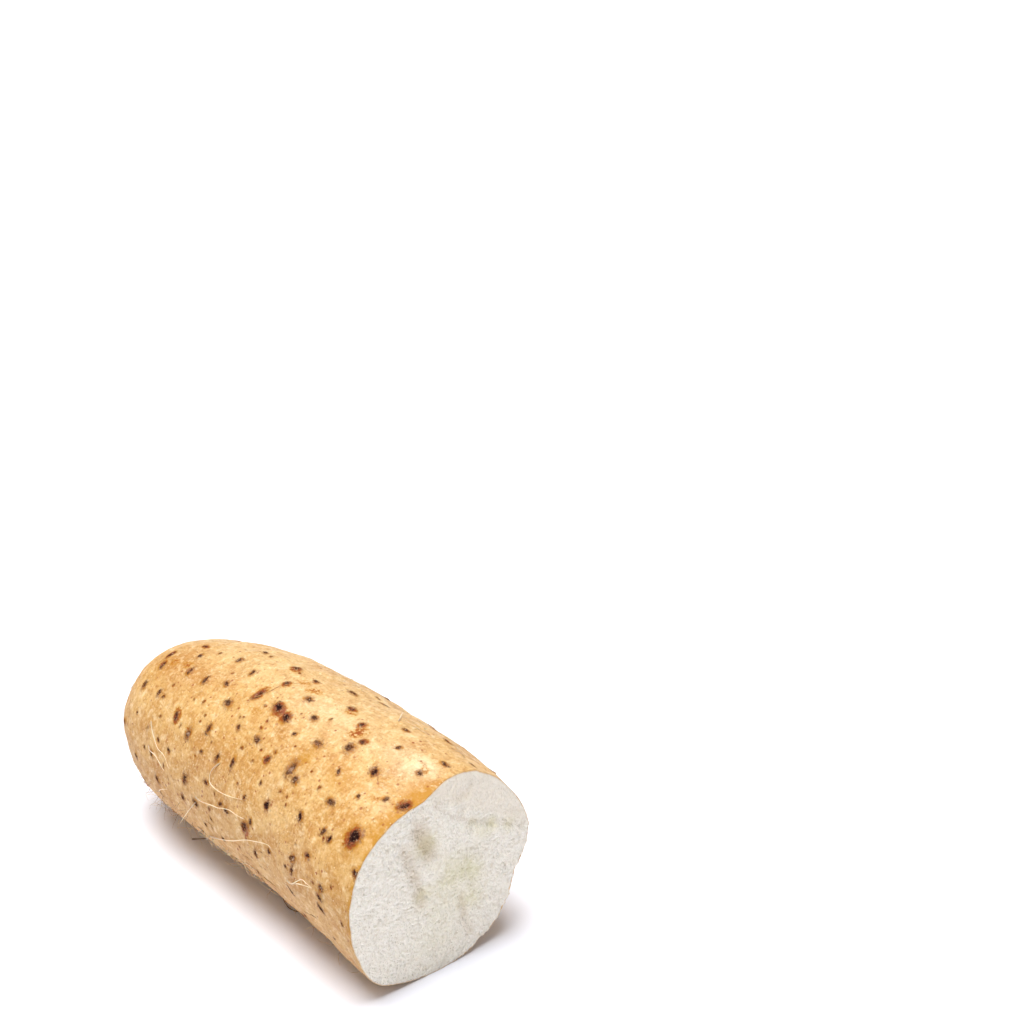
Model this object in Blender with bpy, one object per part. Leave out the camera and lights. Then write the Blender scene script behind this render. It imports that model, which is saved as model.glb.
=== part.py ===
"""A snapped-off length of nagaimo, the long Chinese yam: one grown tuber that lies on its side.

The tuber runs along +X, from its blunt grown tip at -X to its snapped face at +X, and rests on a
small flat spot at z = 0. A place on the skin is given by its distance from the tip and its clock
angle about the tuber: 0 degrees is +Y, 90 is up, 180 is -Y and -90 is down.
"""

import bmesh
import bpy
import numpy as np

NAME = "nagaimo"
METRES_PER_MM = 0.001

# Driving sizes, in millimetres
LENGTH = 147.0
TIP_DEPTH = 20.0
TIP_BLUNTNESS = 2.6
FLAT_DEPTH = 1.2
MIDDLE_X = 74.5
MIDDLE_Y = 1.7

# Sections from the tip to the face: distance, half width, half height, bend to +Y, lift
SECTIONS = np.array(
    [
        (0, 26.0, 26.0, -2.0, 9.0),
        (12, 27.5, 27.5, -1.0, 6.5),
        (25, 30.5, 30.5, 0.2, 3.2),
        (50, 34.0, 34.0, 2.5, 0.5),
        (75, 35.0, 35.0, 3.0, 0.0),
        (100, 35.2, 35.2, 2.5, 0.0),
        (125, 35.0, 34.8, 1.2, 0.0),
        (LENGTH, 34.6, 33.6, 0.0, 0.0),
    ]
)

# Swellings and dents: clock, distance, height, spread in degrees, spread along
SWELLINGS = (
    (14, LENGTH, 1.6, 16, 60),
    (-21, LENGTH, -3.2, 13, 40),
    (-75, LENGTH, -1.2, 22, 60),
    (-134, LENGTH, 2.4, 12, 22),
    (165, LENGTH, 1.0, 22, 60),
    (102, LENGTH, -2.4, 10, 10),
    (62, LENGTH, 1.4, 24, 18),
    (-160, 10, -1.2, 30, 12),
    (-148, 66, -0.6, 24, 12),
)
LUMP_HEIGHT = 0.35
LUMP_LENGTH = 9.5
LUMP_TWIST = 21.0

# The broken face: ridges and grooves as (y, z) to (y, z), height and half width
FACE_CENTRE = (0.0, 32.4)
FACE_RIDGES = (
    ((-8, 63), (12, 52), 0.9, 2.0),
    ((12, 52), (33, 35), 0.7, 2.2),
    ((-9, 55), (-7, 28), -1.0, 2.4),
    ((-17, 57), (-16, 29), 0.6, 3.0),
    ((0, 49), (1, 33), 0.8, 2.6),
    ((7, 39), (10, 13), 0.6, 2.6),
    ((-2, 23), (-5, 7), -0.6, 2.2),
    ((16, 33), (20, 17), -0.5, 2.4),
)
CRESCENT_FROM = (12, 52)
CRESCENT_UP = (0.55, 0.83)
CRESCENT_SLOPE = 0.12
FACE_DOME = 1.0
FACE_RADIUS = 34.0

# Root scars on the near side: distance from the tip, clock, diameter
SCARS = (
    (10, 170, 1.8), (15, 106, 2.2), (17, 118, 2.0), (17, 134, 2.2), (23, 92, 1.7),
    (28, 101, 1.8), (34, 113, 2.2), (44, 93, 2.0), (46, 76, 1.8), (42, 116, 2.2),
    (51, 113, 1.8), (56, 99, 2.2), (62, 80, 2.4), (29, 135, 1.8), (42, 142, 2.4),
    (58, 123, 2.6), (66, 110, 2.8), (70, 95, 2.0), (75, 86, 1.7), (83, 97, 2.2),
    (79, 110, 3.2), (84, 113, 2.8), (93, 104, 2.2), (60, 139, 2.4), (53, 149, 2.6),
    (70, 130, 1.7), (34, 172, 1.8), (21, -173, 1.7), (38, -177, 2.0), (56, 170, 2.6),
    (67, 165, 1.8), (69, 148, 2.0), (75, 147, 2.0), (80, 129, 2.4), (91, 137, 2.2),
    (101, 133, 3.6), (105, 138, 2.5), (101, 115, 2.6), (87, 77, 2.4), (96, 87, 2.0),
    (107, 93, 2.0), (115, 105, 3.0), (116, 98, 2.0), (117, 76, 1.8), (98, 68, 2.0),
    (124, 89, 1.7), (127, 107, 2.6), (138, 92, 1.8), (139, 77, 2.0), (126, 58, 1.7),
    (123, 133, 2.6), (138, 114, 1.7), (144, 110, 3.0), (100, 153, 2.4), (115, 150, 2.2),
    (62, -179, 2.4), (54, 178, 2.0), (80, 169, 2.0), (78, -169, 1.7), (94, 170, 1.7),
    (91, 175, 2.8), (127, 146, 2.0), (131, 149, 1.9), (125, 160, 2.0), (117, 168, 2.4),
    (117, 174, 1.7), (98, 178, 1.8), (116, -172, 1.9), (133, 173, 2.4), (132, 178, 2.0),
    (140, 139, 4.0), (120, -155, 1.7),
)

# Root scars on the far side, by rule
FAR_SCARS_TRIED = 400
FAR_SCARS_APART = 12.0
FAR_CLOCKS = (-150, 50)
FAR_DISTANCES = (8, 141)
FAR_SIZES = (1.7, 3.0)
FAR_CLEAR_OF_SURFACE = 3.0
SEED = 11

# Each scar: the collar's reach, height and wall, and the pit's depth, per unit of diameter
COLLAR_REACH = 0.6
COLLAR_HEIGHT = 0.18
COLLAR_WALL = 0.26
PIT_DEPTH = 0.26

# The net of points that is wrapped round the tuber
SIDES = 46
TIP_ROWS = 7
BODY_ROWS = 28
FACE_ROWS = 6
SEAM_CLOCK = -90
SCARS_APART = 4.6
DRIFT_PASSES = 12

SKIN = {"colour": (0.72, 0.43, 0.18, 1.0), "roughness": 0.55}
FLESH = {"colour": (0.80, 0.74, 0.66, 1.0), "roughness": 0.35}
SHARP_FROM_DEGREES = 50


def through_sections(column, x):
    """A section value at distance x, on a smooth curve through the listed sections."""
    stations, values = SECTIONS[:, 0], SECTIONS[:, column]
    slopes = np.gradient(values, stations)
    k = np.clip(np.searchsorted(stations, x) - 1, 0, len(stations) - 2)
    span = stations[k + 1] - stations[k]
    t = (x - stations[k]) / span
    return (
        (2 * t**3 - 3 * t**2 + 1) * values[k]
        + (t**3 - 2 * t**2 + t) * span * slopes[k]
        + (3 * t**2 - 2 * t**3) * values[k + 1]
        + (t**3 - t**2) * span * slopes[k + 1]
    )


def unevenness(x, clock):
    """How far the skin stands out of its smooth section: the swellings and a slow lumpiness."""
    theta = np.radians(clock)
    along = np.sin(x / LUMP_LENGTH + np.sin(2 * theta))
    height = LUMP_HEIGHT * along * np.sin(3 * theta + x / LUMP_TWIST)
    for at_clock, at_x, rise, clock_spread, x_spread in SWELLINGS:
        turn = (clock - at_clock + 180) % 360 - 180
        height = height + rise * np.exp(-((turn / clock_spread) ** 2 + ((x - at_x) / x_spread) ** 2) / 2)
    return height


def skin(x, clock):
    """Points on the skin, in millimetres from the tip, with the underside pressed flat at z = 0."""
    x, clock = np.broadcast_arrays(np.asarray(x, float), np.asarray(clock, float))
    theta = np.radians(clock)
    half_width, half_height = through_sections(1, x), through_sections(2, x)
    back = np.clip(1 - x / TIP_DEPTH, 0, 1)
    fullness = (1 - back**TIP_BLUNTNESS) ** (1 / TIP_BLUNTNESS)
    extra = unevenness(x, clock)
    y = through_sections(3, x) + (half_width + extra) * fullness * np.cos(theta)
    centre_z = through_sections(4, x) + half_height - FLAT_DEPTH
    z = centre_z + (half_height + extra) * fullness * np.sin(theta)
    return np.stack([x, y, np.maximum(z, 0.0)], axis=-1)


def face_relief(y, z):
    """How far the broken face stands out of its plane: a dome, a crescent that leans back, ridges."""
    reach = np.hypot(y - FACE_CENTRE[0], z - FACE_CENTRE[1]) / FACE_RADIUS
    out = FACE_DOME * (1 - reach**2)
    above = (y - CRESCENT_FROM[0]) * CRESCENT_UP[0] + (z - CRESCENT_FROM[1]) * CRESCENT_UP[1]
    out = out - CRESCENT_SLOPE * np.maximum(above, 0)
    for start, end, height, half_width in FACE_RIDGES:
        start, run = np.array(start, float), np.subtract(end, start).astype(float)
        along = ((y - start[0]) * run[0] + (z - start[1]) * run[1]) / (run @ run)
        along = np.clip(along, 0, 1)
        off = np.hypot(y - start[0] - along * run[0], z - start[1] - along * run[1])
        out = out + height * np.exp(-((off / half_width) ** 2) / 2)
    return out


def face(reach, clock):
    """Points on the broken face, from its centre at reach 0 to the rim of the skin at reach 1."""
    middle = np.array([LENGTH, *FACE_CENTRE])
    points = middle + reach[..., None] * (skin(LENGTH, clock) - middle)
    points[..., 0] += face_relief(points[..., 1], points[..., 2])
    return points


def far_side_scars():
    """Scars for the side turned away, drawn at random and kept where they stand well apart."""
    rng = np.random.default_rng(SEED)
    kept = []
    for _ in range(FAR_SCARS_TRIED):
        x, clock = rng.uniform(*FAR_DISTANCES), rng.uniform(*FAR_CLOCKS)
        size = rng.uniform(*FAR_SIZES)
        spot = skin(x, clock)
        apart = all(np.linalg.norm(spot - skin(other[0], other[1])) > FAR_SCARS_APART for other in kept)
        if apart and spot[2] > FAR_CLEAR_OF_SURFACE:
            kept.append((x, clock, size))
    return kept


def skin_stations():
    """Distances from the tip of the net's rows: evenly round the tip's curve, then along the body."""
    angle = np.linspace(0, np.pi / 2, TIP_ROWS + 1)[:-1]
    tip = TIP_DEPTH * (1 - np.cos(angle) ** (2 / TIP_BLUNTNESS))
    return np.concatenate([tip, np.linspace(TIP_DEPTH, LENGTH, BODY_ROWS + 1)])


def draw_to_scars(x, clock, scars):
    """Moves the nearest point of the net onto each scar, and the points round it part of the way.

    The second of two scars that stand too close for the net stays smooth. Returns the moved net,
    and the row, column and diameter of each scar that has a point."""
    drift = np.zeros((2,) + x.shape)
    held = np.zeros(x.shape, bool)
    held[[0, -1], :] = True
    held[:, [0, -1]] = True
    seats, spots = [], []
    for scar_x, scar_clock, diameter in scars:
        spot = skin(scar_x, scar_clock)
        if any(np.linalg.norm(spot - other) < SCARS_APART for other in spots):
            continue
        gap = np.linalg.norm(skin(x, clock) - spot, axis=-1)
        row, column = np.unravel_index(np.argmin(np.where(held, np.inf, gap)), gap.shape)
        spots.append(spot)
        turn = (scar_clock - clock[row, column] + 180) % 360 - 180
        drift[:, row, column] = scar_x - x[row, column], turn
        held[row, column] = True
        seats.append((row, column, diameter))
    for _ in range(DRIFT_PASSES):
        along = np.roll(drift, 1, axis=1) + np.roll(drift, -1, axis=1)
        around = np.roll(drift, 1, axis=2) + np.roll(drift, -1, axis=2)
        drift = np.where(held, drift, (along + around) / 4)
    return x + drift[0], clock + drift[1], seats


def net_points(scars):
    """The whole net in rows: the skin from the tip to the rim, then the face from rim to centre."""
    clocks = np.linspace(SEAM_CLOCK, SEAM_CLOCK + 360, SIDES + 1)
    x, clock = np.meshgrid(skin_stations(), clocks, indexing="ij")
    x, clock, seats = draw_to_scars(x, clock, scars)
    reach, face_clock = np.meshgrid(np.linspace(1, 0, FACE_ROWS + 1), clocks, indexing="ij")
    points = np.concatenate([skin(x[:-1], clock[:-1]), face(reach, face_clock)])
    return points, seats


def raise_scar(bm, point, diameter):
    """A root scar: the point opens to a ring, which steps up to a collar round a sunk pit."""
    scar = diameter * METRES_PER_MM
    ring = bmesh.ops.bevel(
        bm, geom=[point], offset=COLLAR_REACH * scar, segments=1, affect="VERTICES", clamp_overlap=True
    )["faces"]
    bmesh.ops.inset_individual(bm, faces=ring, thickness=COLLAR_WALL * scar, depth=COLLAR_HEIGHT * scar)
    bmesh.ops.poke(bm, faces=ring, offset=-PIT_DEPTH * scar)


def tuber_mesh():
    """The closed tuber: a sheet of squares wrapped over the net, sewn up, with its scars raised."""
    points, seats = net_points(list(SCARS) + far_side_scars())
    rows, columns = points.shape[:2]
    points = (points - np.array([MIDDLE_X, MIDDLE_Y, 0.0])) * METRES_PER_MM
    bm = bmesh.new()
    bmesh.ops.create_grid(bm, x_segments=columns - 1, y_segments=rows - 1, size=1)
    bm.verts.ensure_lookup_table()
    for vert, point in zip(bm.verts, points.reshape(-1, 3)):
        vert.co = point
    scar_points = [(bm.verts[row * columns + column], diameter) for row, column, diameter in seats]
    rim_row = rows - FACE_ROWS - 1
    for number, square in enumerate(bm.faces):
        square.material_index = int(number // (columns - 1) >= rim_row)
        square.smooth = True
    bmesh.ops.remove_doubles(bm, verts=[v for v in bm.verts if v.is_boundary], dist=1e-6)
    bmesh.ops.triangulate(bm, faces=bm.faces[:], quad_method="FIXED")
    for point, diameter in scar_points:
        raise_scar(bm, point, diameter)
    bmesh.ops.triangulate(bm, faces=bm.faces[:])
    bmesh.ops.recalc_face_normals(bm, faces=bm.faces[:])
    mesh = bpy.data.meshes.new(NAME)
    bm.to_mesh(mesh)
    bm.free()
    return mesh


def finish_of(name, colour, roughness):
    """A plain Principled material."""
    material = bpy.data.materials.new(name)
    material.use_nodes = True
    shader = material.node_tree.nodes["Principled BSDF"]
    shader.inputs["Base Color"].default_value = colour
    shader.inputs["Roughness"].default_value = roughness
    shader.inputs["Metallic"].default_value = 0.0
    return material


def main():
    """Clears the scene and puts the tuber in a collection of its own."""
    for old in list(bpy.data.objects):
        bpy.data.objects.remove(old)
    mesh = tuber_mesh()
    mesh.materials.append(finish_of("skin", **SKIN))
    mesh.materials.append(finish_of("flesh", **FLESH))
    mesh.set_sharp_from_angle(angle=np.radians(SHARP_FROM_DEGREES))
    collection = bpy.data.collections.new(NAME)
    bpy.context.scene.collection.children.link(collection)
    collection.objects.link(bpy.data.objects.new(NAME, mesh))


main()
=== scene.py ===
"""A snapped-off length of nagaimo, the long Chinese yam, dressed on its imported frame.

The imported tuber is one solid. A finely worked skin and its broken flesh stand for it here, and the root
scars, root trails and dry rootlets are pieces of their own. Sizes are in millimetres. A place on the
skin is given by its distance from the grown tip and a clock angle about the tuber: 0 degrees is +Y, 90
is up, 180 is -Y and -90 is down. Points move to the row frame, in metres, when a mesh is made.
"""

import logging
from dataclasses import dataclass, field
from enum import Enum

import bpy
import numpy as np
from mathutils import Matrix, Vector


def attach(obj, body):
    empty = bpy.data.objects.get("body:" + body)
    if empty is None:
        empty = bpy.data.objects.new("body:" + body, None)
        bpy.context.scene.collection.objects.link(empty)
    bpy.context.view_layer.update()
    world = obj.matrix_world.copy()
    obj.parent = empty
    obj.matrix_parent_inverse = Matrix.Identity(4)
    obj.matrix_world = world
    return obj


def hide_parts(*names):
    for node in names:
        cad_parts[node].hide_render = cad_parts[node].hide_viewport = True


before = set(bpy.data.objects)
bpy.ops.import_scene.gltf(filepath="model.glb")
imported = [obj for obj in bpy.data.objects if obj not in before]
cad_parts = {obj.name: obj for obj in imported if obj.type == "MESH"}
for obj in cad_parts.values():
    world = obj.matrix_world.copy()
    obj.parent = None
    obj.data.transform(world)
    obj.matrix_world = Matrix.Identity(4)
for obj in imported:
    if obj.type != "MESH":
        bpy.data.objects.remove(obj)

Array = np.ndarray
Colour = tuple[float, float, float, float]
LOG = logging.getLogger("nagaimo")
METRES_PER_MM = 0.001
MM_PER_METRE = 1000

# Sections from the tip to the face: distance, half width, half height, bend to +Y, lift
SECTIONS = (
    (0, 26.0, 26.0, -2.0, 9.0),
    (12, 27.5, 27.5, -1.0, 6.5),
    (25, 30.5, 30.5, 0.2, 3.2),
    (50, 34.0, 34.0, 2.5, 0.5),
    (75, 35.0, 35.0, 3.0, 0.0),
    (100, 35.2, 35.2, 2.5, 0.0),
    (125, 35.0, 34.8, 1.2, 0.0),
    (147, 34.6, 33.6, 0.0, 0.0),
)

# Swellings and dents: clock, distance, height, spread in degrees, spread along
SWELLINGS = (
    (14, 147, 1.6, 16, 60),
    (-21, 147, -3.2, 13, 40),
    (-75, 147, -1.2, 22, 60),
    (-134, 147, 2.4, 12, 22),
    (165, 147, 1.0, 22, 60),
    (102, 147, -2.4, 10, 10),
    (62, 147, 1.4, 24, 18),
    (-160, 10, -1.2, 30, 12),
    (-148, 66, -0.6, 24, 12),
)

# Ripples of the skin: height, wave length, seed
SKIN_RIPPLES = ((0.10, 13.0, 1), (0.05, 5.0, 2), (0.022, 2.4, 3))

# Waves of the torn rim: how many go round it, where they start, how strong
TEAR_WAVES = ((7, 0, 1.0), (17, 4, 0.8), (31, 1, 0.5), (53, 2, 0.35), (83, 0, 0.25))

# Grains of the broken face: height, wave length, seed
FACE_LUMPS = ((0.16, 3.2, 7), (0.09, 1.8, 8))
FACE_SWELL = (0.13, 7.0, 9)

# Folds of the broken face: a line of (y, z) points, height, half width
FACE_FOLDS = (
    (((-2, 60), (4, 54), (11, 49), (21, 44.5), (32, 38.5)), -0.42, 1.0),
    (((-3, 62), (2.5, 59), (11, 58.7), (13, 60.5)), -0.25, 0.9),
    (((-1, 54), (1.5, 49), (2, 38)), 0.5, 3.6),
    (((9, 46), (20, 41), (30, 35)), 0.6, 2.4),
    (((-8, 54), (-6, 48), (-4, 44)), -1.0, 2.6),
    (((-15, 50), (-10, 37), (-8, 28)), -0.6, 1.9),
    (((-18, 58), (-22, 50), (-24, 40)), 0.7, 3.6),
    (((-5, 38), (-3, 27)), 0.6, 2.4),
    (((7, 24), (8, 17), (11, 9)), -0.5, 1.2),
    (((12, 34), (14, 24)), 0.5, 2.6),
)

# Green and yellow tints of the face: y, z, spread, strength
FACE_TINTS = (
    (4, 35, 4.0, 0.9),
    (11, 32, 3.2, 0.8),
    (11, 22, 3.6, 0.7),
    (-6, 48, 2.4, 2.0),
    (-8, 31, 2.0, 0.8),
    (16, 44, 2.6, 0.5),
    (0, 27, 5.0, 0.4),
    (-3, 13, 6.0, 0.3),
    (12, 48.5, 1.5, 0.5),
    (20, 45, 1.6, 0.8),
    (27, 41.5, 1.6, 0.7),
)

# Ochre stains in the skin, with painted light: distance, clock, spread along, spread in degrees, strength
# (pale below 0).
# The pale ones are painted highlight and sheen on the upper side; the broad ochre ones toward the
# underside are painted shade.
STAINS_AND_PAINTED_LIGHT = (
    (147, 110, 2.4, 7, 1.1),
    (145.5, 122, 1.8, 7, 0.6),
    (146, 100, 2.6, 6, 0.8),
    (142, 103, 2.5, 4, 0.5),
    (145, 97, 2.4, 3.4, 0.9),
    (147, 90, 1.4, 4, 0.6),
    (147, 140, 1.2, 12, 0.6),
    (147, 165, 1.0, 16, 0.8),
    (147, -174, 0.8, 12, 0.4),
    (104.5, 124, 2.0, 3.0, 0.9),
    (120, 124, 3.2, 4.0, 0.55),
    (126, 114, 9, 9, 0.22),
    (66, 123, 14, 12, 0.20),
    (139.5, 139, 2.6, 4.4, 0.9),
    # painted highlight and sheen: pale patches on the upper side
    (137, 86, 4.0, 3.4, -1.0),
    (131, 92, 5.0, 5.0, -0.4),
    (141, 120, 3.0, 4.0, -0.5),
    (100, 97, 14, 8, -0.25),
    # painted shade: a deeper ochre toward the underside
    (6, 170, 16, 40, 0.40),
    (60, -170, 60, 14, 0.32),
    (139, 168, 7, 22, 0.34),
    (143.5, 128, 2.0, 9, 0.55),
    # painted sheen: a broad pale patch over the upper side
    (80, 84, 60, 20, -0.30),
)

# Rust patches in the skin: distance, clock, spread along, spread in degrees, strength
RUST_PATCHES = (
    (75, 89, 1.6, 1.5, 0.60),
    (82.5, 90, 2.0, 1.6, 0.55),
    (80, 93, 1.2, 1.5, 0.35),
    (100, 89, 1.6, 1.6, 0.60),
    (111, 96, 1.6, 2.6, 1.00),
    (110, 100, 1.5, 2.0, 0.50),
    (23, 113, 1.2, 2.0, 0.80),
    (29.5, 112, 1.6, 2.0, 0.80),
    (41.5, 140, 1.0, 2.0, 0.70),
    (138.5, 88, 1.4, 1.4, 0.60),
    (142.5, 108, 0.8, 1.2, 0.80),
    (123, 163, 1.1, 1.6, 0.80),
    (136.5, 118, 1.4, 2.0, 0.50),
    (91.5, 178, 1.0, 2.6, 0.70),
    (50.5, 146, 1.3, 2.0, 0.55),
    (116.5, -150, 1.2, 2.0, 0.80),
    (79.5, 125, 0.8, 1.0, 0.70),
    (91.5, 131, 0.8, 1.0, 0.70),
    (133, -176, 1.2, 3.0, 0.45),
    (72, 119, 3.0, 3.0, 0.30),
)


def smooth_step(value: Array, start: float, end: float) -> Array:
    """0 up to start, 1 from end on, and an S-shaped curve between them."""
    t = np.clip((value - start) / (end - start), 0, 1)
    return t * t * (3 - 2 * t)


def ripples(points: Array, length: float, seed: int, waves: int = 24) -> Array:
    """A smooth random height about zero, of spread one.

    Formula: the sum, over random directions, of the sine of a turn for each wave length along that
    direction, divided by the square root of half the number of waves.

    Args:
        points: Places, with the coordinates in the last axis.
        length: The usual wave length, in the unit of the points.
        seed: Picks the directions.
        waves: How many sines are added.

    Returns:
        One height for each place.
    """
    rng = np.random.default_rng(seed)
    directions = rng.normal(size=(waves, points.shape[-1]))
    directions /= np.linalg.norm(directions, axis=1, keepdims=True)
    turns = 2 * np.pi * directions / (length * rng.uniform(0.75, 1.35, (waves, 1)))
    return np.sin(points @ turns.T + rng.uniform(0, 2 * np.pi, waves)).sum(axis=-1) / np.sqrt(waves / 2)


def turn_from(clock: Array, middle: float) -> Array:
    """How far clock angles are turned from a middle one, from -180 to 180 degrees."""
    return (clock - middle + 180) % 360 - 180


def clocks_round(columns: int) -> Array:
    """The clock angles of evenly spread columns, from the underside round."""
    return np.arange(columns) * 360 / columns - 90


def patches(listed: tuple, x: Array, clock: Array) -> Array:
    """How strongly listed patches mark the skin: the sum of a bell for each of them."""
    marked = np.zeros(np.broadcast(x, clock).shape)
    for at_x, at_clock, x_spread, clock_spread, strength in listed:
        away = (turn_from(clock, at_clock) / clock_spread) ** 2 + ((x - at_x) / x_spread) ** 2
        marked = marked + strength * np.exp(-away / 2)
    return marked


def paint(red: int, green: int, blue: int) -> Colour:
    """A colour as it shows on a screen, 0 to 255 each, in the shader's linear values."""
    shown = np.array([red, green, blue]) / 255
    linear = np.where(shown <= 0.04045, shown / 12.92, ((shown + 0.055) / 1.055) ** 2.4)
    return (*linear.tolist(), 1.0)


def wrapped(rings: int, columns: int, copies: int = 1) -> tuple[Array, Array]:
    """Corner numbers of nets that close round their columns and end in a point at both ends.

    A net's points are its start point, its rings one after another, and its end point.

    Args:
        rings: Rings of each net.
        columns: Points of each ring.
        copies: How many nets of this size lie one after another.

    Returns:
        The triangles, those at the start first, and the squares, ring by ring, of every net.
    """
    column = np.arange(columns)
    after = (column + 1) % columns
    row = 1 + columns * np.arange(rings - 1)[:, None]
    corners = [row + column, row + after, row + columns + after, row + columns + column]
    squares = np.stack(corners, axis=-1).reshape(-1, 4)
    last = 1 + columns * (rings - 1)
    start_fan = np.stack([np.zeros_like(column), 1 + after, 1 + column], axis=-1)
    end_fan = np.stack([last + column, last + after, np.full(columns, last + columns)], axis=-1)
    triangles = np.concatenate([start_fan, end_fan])
    step = (last + columns + 1) * np.arange(copies)[:, None, None]
    return (triangles + step).reshape(-1, 3), (squares + step).reshape(-1, 4)


@dataclass
class Piece:
    """One finished piece of the object: its points in millimetres, its faces and what it records."""

    name: str
    points: Array
    triangles: Array
    squares: Array
    values: dict[str, Array] = field(default_factory=dict)

    def made(self, material: bpy.types.Material, form: "TuberForm") -> bpy.types.Object:
        """Makes the object, with its place in its mesh.

        Args:
            material: The piece's material.
            form: The tuber, which knows the middle of the row frame.

        Returns:
            The linked object.
        """
        mesh = bpy.data.meshes.new(self.name)
        corners = np.concatenate([self.triangles.ravel(), self.squares.ravel()])
        sizes = np.concatenate([np.full(len(self.triangles), 3), np.full(len(self.squares), 4)])
        mesh.vertices.add(len(self.points))
        mesh.loops.add(len(corners))
        mesh.polygons.add(len(sizes))
        placed = (self.points - np.array(form.middle)) * METRES_PER_MM
        mesh.vertices.foreach_set("co", placed.astype(np.float32).ravel())
        mesh.loops.foreach_set("vertex_index", corners.astype(np.int32))
        mesh.polygons.foreach_set("loop_start", (np.cumsum(sizes) - sizes).astype(np.int32))
        mesh.materials.append(material)
        mesh.polygons.foreach_set("use_smooth", np.ones(len(sizes), bool))
        mesh.update(calc_edges=True)
        for name, value in self.values.items():
            kind, key = ("FLOAT", "value") if value.ndim == 1 else ("FLOAT_VECTOR", "vector")
            made = mesh.attributes.new(name, kind, "POINT")
            made.data.foreach_set(key, value.astype(np.float32).ravel())
        made_object = bpy.data.objects.new(self.name, mesh)
        bpy.context.scene.collection.objects.link(made_object)
        LOG.info("%s: %d points, %d triangles", self.name, len(self.points), (sizes - 2).sum())
        return made_object


@dataclass(frozen=True)
class TuberForm:
    """The tuber's shape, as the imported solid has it, with the fine unevenness of the skin."""

    length: float = 147.0
    tip_depth: float = 20.0
    tip_bluntness: float = 2.6
    flat_depth: float = 1.2
    middle: tuple[float, float, float] = (74.5, 1.7, 0.0)
    lump_height: float = 0.35
    lump_length: float = 9.5
    lump_twist: float = 21.0
    face_centre: tuple[float, float] = (0.0, 32.4)
    crescent_from: tuple[float, float] = (12, 52)
    crescent_up: tuple[float, float] = (0.55, 0.83)
    crescent_slope: float = 0.15
    face_dome: float = 1.0
    face_radius: float = 34.0
    rim_blend: float = 14.0
    tear_clock: float = -30.0
    tear_spread: float = 45.0
    tear_least: float = 0.10 / 1.8
    tear_more: float = 0.22 / 1.8
    step_along: float = 0.05
    step_about: float = 0.25
    fold_height: float = 0.020
    fold_length: float = 2.6
    fold_stretch: float = 0.12

    def section(self, column: int, x: Array) -> Array:
        """A section value at distance x, on a smooth curve through the listed sections."""
        stations, values = np.array(SECTIONS, float)[:, [0, column]].T
        slopes = np.gradient(values, stations)
        k = np.clip(np.searchsorted(stations, x) - 1, 0, len(stations) - 2)
        span = stations[k + 1] - stations[k]
        t = (x - stations[k]) / span
        return (
            (2 * t**3 - 3 * t**2 + 1) * values[k]
            + (t**3 - 2 * t**2 + t) * span * slopes[k]
            + (3 * t**2 - 2 * t**3) * values[k + 1]
            + (t**3 - t**2) * span * slopes[k + 1]
        )

    def unevenness(self, x: Array, clock: Array) -> Array:
        """How far the skin stands out of its smooth section.

        Formula: a slow lumpiness, the product of a sine along and a sine about the tuber, plus a bell
        for each swelling: its rise, times e to minus half its squared distance in spreads.
        """
        theta = np.radians(clock)
        along = np.sin(x / self.lump_length + np.sin(2 * theta))
        height = self.lump_height * along * np.sin(3 * theta + x / self.lump_twist)
        for at_clock, at_x, rise, clock_spread, x_spread in SWELLINGS:
            away = (turn_from(clock, at_clock) / clock_spread) ** 2 + ((x - at_x) / x_spread) ** 2
            height = height + rise * np.exp(-away / 2)
        return height

    def skin(self, x: Array, clock: Array) -> Array:
        """Points on the smooth skin, with the underside pressed flat at z = 0.

        Formula: an ellipse about the section's middle, of the section's half width and half height
        plus the unevenness, drawn in towards the tip as a blunt superellipse.
        """
        x, clock = np.broadcast_arrays(np.asarray(x, float), np.asarray(clock, float))
        theta = np.radians(clock)
        back = np.clip(1 - x / self.tip_depth, 0, 1)
        fullness = (1 - back**self.tip_bluntness) ** (1 / self.tip_bluntness)
        extra = self.unevenness(x, clock)
        half_height = self.section(2, x)
        y = self.section(3, x) + (self.section(1, x) + extra) * fullness * np.cos(theta)
        z = self.section(4, x) + half_height - self.flat_depth
        z = z + (half_height + extra) * fullness * np.sin(theta)
        return np.stack([x, y, np.maximum(z, 0)], axis=-1)

    def slopes(self, x: Array, clock: Array) -> tuple[Array, Array]:
        """How a skin point moves for each millimetre along and each degree about the tuber."""
        low, high = np.maximum(x - self.step_along, 0.0), np.minimum(x + self.step_along, self.length)
        along = (self.skin(high, clock) - self.skin(low, clock)) / (high - low)[..., None]
        step = self.step_about
        about = (self.skin(x, clock + step) - self.skin(x, clock - step)) / (2 * step)
        return along, about

    def outward(self, x: Array, clock: Array) -> Array:
        """The direction straight out of the skin, of length one."""
        normal = np.cross(*self.slopes(x, clock)[::-1])
        return normal / np.maximum(np.linalg.norm(normal, axis=-1, keepdims=True), 1e-12)

    def grain(self, points: Array) -> Array:
        """The skin's fine unevenness: random ripples of three lengths, and faint folds about the tuber."""
        height = sum(rise * ripples(points, length, seed) for rise, length, seed in SKIN_RIPPLES)
        drawn_out = points * [1.0, self.fold_stretch, self.fold_stretch]
        return height + self.fold_height * ripples(drawn_out, self.fold_length, 4)

    def worn_skin(self, x: Array, clock: Array) -> Array:
        """Points on the skin as it is, dimpled, and drawn out or back to meet the broken face."""
        points = self.skin(x, clock)
        points = points + self.outward(x, clock) * self.grain(points)[..., None]
        reach = smooth_step(x, self.length - self.rim_blend, self.length)
        edge = self.face_relief(points[..., 1], points[..., 2]) + self.tear(clock)
        points[..., 0] += reach * edge
        points[..., 2] = np.maximum(points[..., 2], 0)
        return points

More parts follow.
